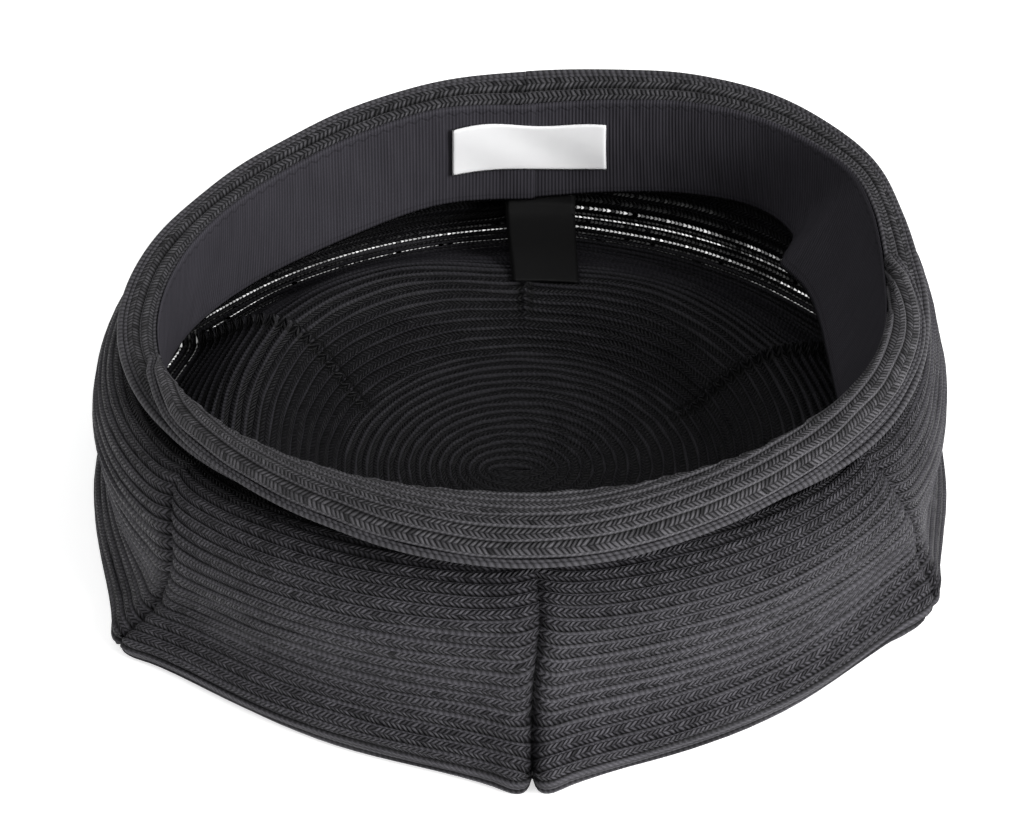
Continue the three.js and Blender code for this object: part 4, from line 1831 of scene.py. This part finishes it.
@dataclass
class WovenLabel:
    """The bare white label at the back, a little wavy.

    Attributes:
        start: Direction of its one end.
        end: Direction of its other end.
        top: Height of its top edge.
        height: Its height.
        wall: Its thickness.
        stand: How far it stands off the ribbon's outer face.
        radius: Radius on which its length is measured.
        columns: How many columns of points go along it.
        rows: How many rows of points go down it.
        finish: Its finish.
    """

    start: float = 166
    end: float = 193
    top: float = 50
    height: float = 15.5
    wall: float = 0.45
    stand: float = 1.95
    radius: float = 91
    columns: int = 60
    rows: int = 22
    finish: WovenFinish = WovenFinish("woven_white", (0.98, 0.98, 0.985), (0.92, 0.92, 0.93), 0.8)

    def face(self, band: Sweatband, depth: float, inside: bool) -> Surface:
        """Lays out one face of the label on the sweatband.

        Args:
            band: The sweatband that the label is sewn on.
            depth: How far in from its place it lies.
            inside: Whether it is the face towards the head.

        Returns:
            The face's surface.
        """
        angles = np.linspace(self.start, self.end, self.columns)
        shares = np.linspace(0, 1, self.rows) if inside else np.linspace(1, 0, self.rows)
        down, across = shares[:, None], np.linspace(0, 1, self.columns)[None]
        ribbon_top = around(OPENING, "neck", angles)[None] + band.rise
        ripple = 0.45 * np.sin(9 * across + 0.6) * (1 - down) + 0.35 * np.sin(7 * across + 2.6)
        height = self.top - self.height * down + ripple + (0.5 - across)
        radius, _ = band.place(angles[None], (ribbon_top - height) / band.width)
        wave = 0.35 * np.sin(9 * across + 2 * down) * np.sin(math.pi * down)
        radius = radius - self.stand - depth - wave
        along = along_rows(swept_length(radius[0], height[0], angles), self.rows)
        return Surface(radius, height, angles, shares * self.height, along)

    def build(self, band: Sweatband) -> bpy.types.Object:
        """Builds the label as one closed sheet on the sweatband.

        Args:
            band: The sweatband that it is sewn on.

        Returns:
            The label.
        """
        piece = shell("woven_label", self.face(band, 0, False), self.face(band, self.wall, True), Ends.OPEN)
        self.finish.dress(piece)
        return piece

    def length(self) -> float:
        """Gives the label's length."""
        return math.radians(self.end - self.start) * self.radius


@dataclass(frozen=True)
class LoopStop:
    """A place along the care label: its radius and height, and how far its two layers stand apart."""

    radius: float
    height: float
    apart: float


@dataclass
class CareLabel:
    """The bare black satin label: a folded loop that hangs from behind the sweatband.

    Attributes:
        start: Direction of its one side.
        end: Direction of its other side.
        wall: Its thickness.
        turned: How far its folded end hangs to the side.
        free_from: Radius inside which it hangs free.
        columns: How many columns of points go across it.
        stops: Its route, from its sewn ends to its fold.
        finish: Its finish.
    """

    start: float = 171.5
    end: float = 183.5
    wall: float = 0.22
    turned: float = -2.6
    free_from: float = 95
    columns: int = 16
    stops: tuple[LoopStop, ...] = (
        LoopStop(95.6, 46, 0.3), LoopStop(97.3, 24, 0.4), LoopStop(95.2, 18.8, 0.5),
        LoopStop(88, 15.6, 0.6), LoopStop(79, 13.8, 0.6), LoopStop(70, 12.2, 0.45),
    )
    finish: WovenFinish = WovenFinish("black_satin", (0.0025, 0.0025, 0.0027), (0.001, 0.001, 0.001), 0.6)

    def section(self, depth: float) -> tuple[np.ndarray, np.ndarray]:
        """Draws the loop's line, down one layer, round its fold and up the other.

        Args:
            depth: How far inside the loop's outer face the line runs.

        Returns:
            Radii and heights.
        """
        knots = np.arange(len(self.stops), dtype=float)
        places = np.linspace(0, len(self.stops) - 1, 40)
        column = {key: spline(knots, np.array([getattr(stop, key) for stop in self.stops]), places)
                  for key in ("radius", "height", "apart")}
        line = np.stack((column["radius"], column["height"]), axis=1)[None]
        normal = normals_of(line)[0]
        half = (column["apart"] - depth)[:, None]
        front, back = line[0] - normal * half, line[0] + normal * half
        heading = normal[-1]
        ahead = np.array([-heading[1], heading[0]])
        round_fold = np.linspace(0, math.pi, 9)[1:-1, None]
        fold = line[0, -1] - heading * np.cos(round_fold) * half[-1] + ahead * np.sin(round_fold) * half[-1]
        loop = np.concatenate((front, fold, back[::-1]))
        return loop[:, 0], loop[:, 1]

    def face(self, depth: float, inside: bool) -> Surface:
        """Lays out one face of the folded label.

        Args:
            depth: How far inside the loop's outer face it lies.
            inside: Whether it is the loop's inner face.

        Returns:
            The face's surface.
        """
        angles = np.linspace(self.start, self.end, self.columns)
        radius, height = self.section(depth)
        if inside:
            radius, height = radius[::-1], height[::-1]
        across = swept_length(radius, height, np.zeros_like(radius))
        along = along_rows(np.radians(angles - angles[0]) * radius.mean(), len(radius))
        middle = math.radians((self.start + self.end) / 2)
        radius, height = (np.repeat(values[:, None], self.columns, axis=1) for values in (radius, height))
        inwards = self.free_from - radius
        sideways = (np.radians(angles)[None] - middle) * inwards * 0.75 + self.turned * ramp(inwards, 25)
        shift = np.stack((sideways * math.cos(middle), sideways * math.sin(middle)), axis=2)
        return Surface(radius, height, angles, across, along, shift)

    def build(self) -> bpy.types.Object:
        """Builds the folded label as one closed sheet.

        Returns:
            The label.
        """
        piece = shell("care_loop", self.face(0, False), self.face(self.wall, True), Ends.OPEN)
        self.finish.dress(piece)
        return piece

    def flat_size(self) -> tuple[float, float]:
        """Gives the label's width and its whole length, unfolded.

        Returns:
            The width and the length.
        """
        radius, height = self.section(0)
        length = swept_length(radius, height, np.zeros_like(radius))[-1]
        return math.radians(self.end - self.start) * radius.mean(), length


# The cap and its stage

@dataclass
class SummerCap:
    """The whole cap, piece by piece."""

    crown: BraidedCrown = field(default_factory=BraidedCrown)
    edge: OpeningEdge = field(default_factory=OpeningEdge)
    peak: TurnedPeak = field(default_factory=TurnedPeak)
    band: Sweatband = field(default_factory=Sweatband)
    label: WovenLabel = field(default_factory=WovenLabel)
    care: CareLabel = field(default_factory=CareLabel)

    def build(self) -> None:
        self.place(self.crown.build(), "crown", "straw_braid")
        self.place(self.edge.build(), "brim_edge", "straw_edge")
        self.place(self.peak.build(), "peak", "straw_edge")
        ribbon = self.place(self.band.build(), "sweatband", "grosgrain")
        whole = 2 * math.pi * (OPENING[0].radius - self.band.inset) + self.band.lap * LAP_LENGTH
        whole * MM
        white = self.place(self.label.build(self.band), "size_label", "woven_white")
        self.label.length() * MM
        self.label.height * MM
        satin = self.place(self.care.build(), "care_label", "black_satin")
        broad, length = self.care.flat_size()
        broad * MM
        length * MM

    @staticmethod
    def place(piece: bpy.types.Object, node: str, slot: str) -> bpy.types.Object:
        """Rides a piece on the cap, in place of a plain solid.

        Args:
            piece: The finished piece.
            node: The solid that it stands for.
            slot: A material slot's name; not used.

        Returns:
            The piece.
        """
        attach(piece, "root")
        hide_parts(node)
        count = sum(len(face.vertices) - 2 for face in piece.data.polygons)
        LOG.info("%s: %d triangles", piece.name, count)
        return piece


# The point that every light faces, in metres.
LIGHTS_FACE = (0.0, 0.0, 0.03)


@dataclass(frozen=True)
class Softbox:
    """A square soft light: its place in metres, its side and its power in watts."""

    name: str
    place: tuple[float, float, float]
    side: float
    power: float


@dataclass
class Studio:
    """The pale floor, the soft lights and the camera at the photograph's angle.

    Attributes:
        distance: From the camera to the crown's middle on the floor, in metres.
        elevation: The camera's angle above the floor.
        lens: The camera's focal length on a sensor 36 mm wide.
        image: Width and height of the picture, in pixels.
        crown_pixel: Where the crown's middle lies in the picture.
        floor_radius: Radius of the floor, in metres.
        floor_drop: How far the floor lies below the cap, in metres.
        sky: Strength of the pale sky.
        lights: The soft lights: a strong one at the front on the right, and two weak ones above.
    """

    distance: float = 0.8
    elevation: float = 38.0
    lens: float = 106.63
    image: tuple[int, int] = (1024, 834)
    crown_pixel: tuple[float, float] = (525, 468)
    floor_radius: float = 12.0
    floor_drop: float = 0.0002
    sky: float = 0.5
    lights: tuple[Softbox, ...] = (
        Softbox("key_light", (1.15, -0.95, 0.78), 0.8, 33.0),
        Softbox("front_fill", (-0.15, -1.0, 1.45), 0.9, 3.6),
        Softbox("side_light", (1.0, 0.4, 1.2), 0.6, 4.0),
    )

    def build(self) -> None:
        """Builds the floor, the lights and the camera."""
        self.lay_floor()
        self.light_sky()
        for light in self.lights:
            self.hang(light)
        self.set_camera()

    def lay_floor(self) -> None:
        """Lays a broad pale floor just under the cap."""
        bpy.ops.object.select_all(action="DESELECT")
        bpy.ops.mesh.primitive_circle_add(vertices=96, radius=self.floor_radius, fill_type="NGON",
                                          location=(0, 0, -self.floor_drop))
        floor = bpy.context.object
        floor.name = "floor"
        bpy.ops.object.transform_apply(location=True, rotation=False, scale=False)
        FloorFinish().dress(floor)

    def light_sky(self) -> None:
        """Lights the whole scene with a plain white sky."""
        world = bpy.data.worlds.new("pale_sky")
        world.use_nodes = True
        background = world.node_tree.nodes["Background"]
        background.inputs["Color"].default_value = (1.0, 1.0, 1.0, 1.0)
        background.inputs["Strength"].default_value = self.sky
        bpy.context.scene.world = world

    @staticmethod
    def hang(box: Softbox) -> None:
        """Hangs a soft light that faces the cap.

        Args:
            box: The light to hang.
        """
        light = bpy.data.lights.new(box.name, "AREA")
        light.size = box.side
        light.energy = box.power
        lamp = bpy.data.objects.new(box.name, light)
        lamp.location = box.place
        lamp.rotation_mode = "QUATERNION"
        lamp.rotation_quaternion = (Vector(LIGHTS_FACE) - Vector(box.place)).to_track_quat("-Z", "Y")
        bpy.context.collection.objects.link(lamp)

    def set_camera(self) -> None:
        """Sets the camera where the photograph was taken from."""
        tilt = math.radians(self.elevation)
        ahead = Vector((0, math.cos(tilt), -math.sin(tilt)))
        up = Vector((0, math.sin(tilt), math.cos(tilt)))
        middle = Vector((CROWN_MIDDLE[0] * MM, CROWN_MIDDLE[1] * MM, 0))
        data = bpy.data.cameras.new("camera")
        data.lens = self.lens
        data.sensor_width = 36.0
        data.clip_end = 50
        camera = bpy.data.objects.new("camera", data)
        camera.location = middle - ahead * self.distance
        focal = self.lens / data.sensor_width * self.image[0]
        right = self.image[0] / 2 - self.crown_pixel[0]
        above = self.crown_pixel[1] - self.image[1] / 2
        aim = ahead * focal + Vector((1, 0, 0)) * right + up * above
        camera.rotation_mode = "QUATERNION"
        camera.rotation_quaternion = aim.to_track_quat("-Z", "Y")
        bpy.context.collection.objects.link(camera)
        bpy.context.scene.camera = camera


def main() -> None:
    """Builds the cap and its stage, in order."""
    logging.basicConfig(level=logging.INFO, format="%(name)s %(message)s")
    bpy.context.scene.view_settings.view_transform = "Standard"
    SummerCap().build()
    Studio().build()


if __name__ == "__main__":
    main()
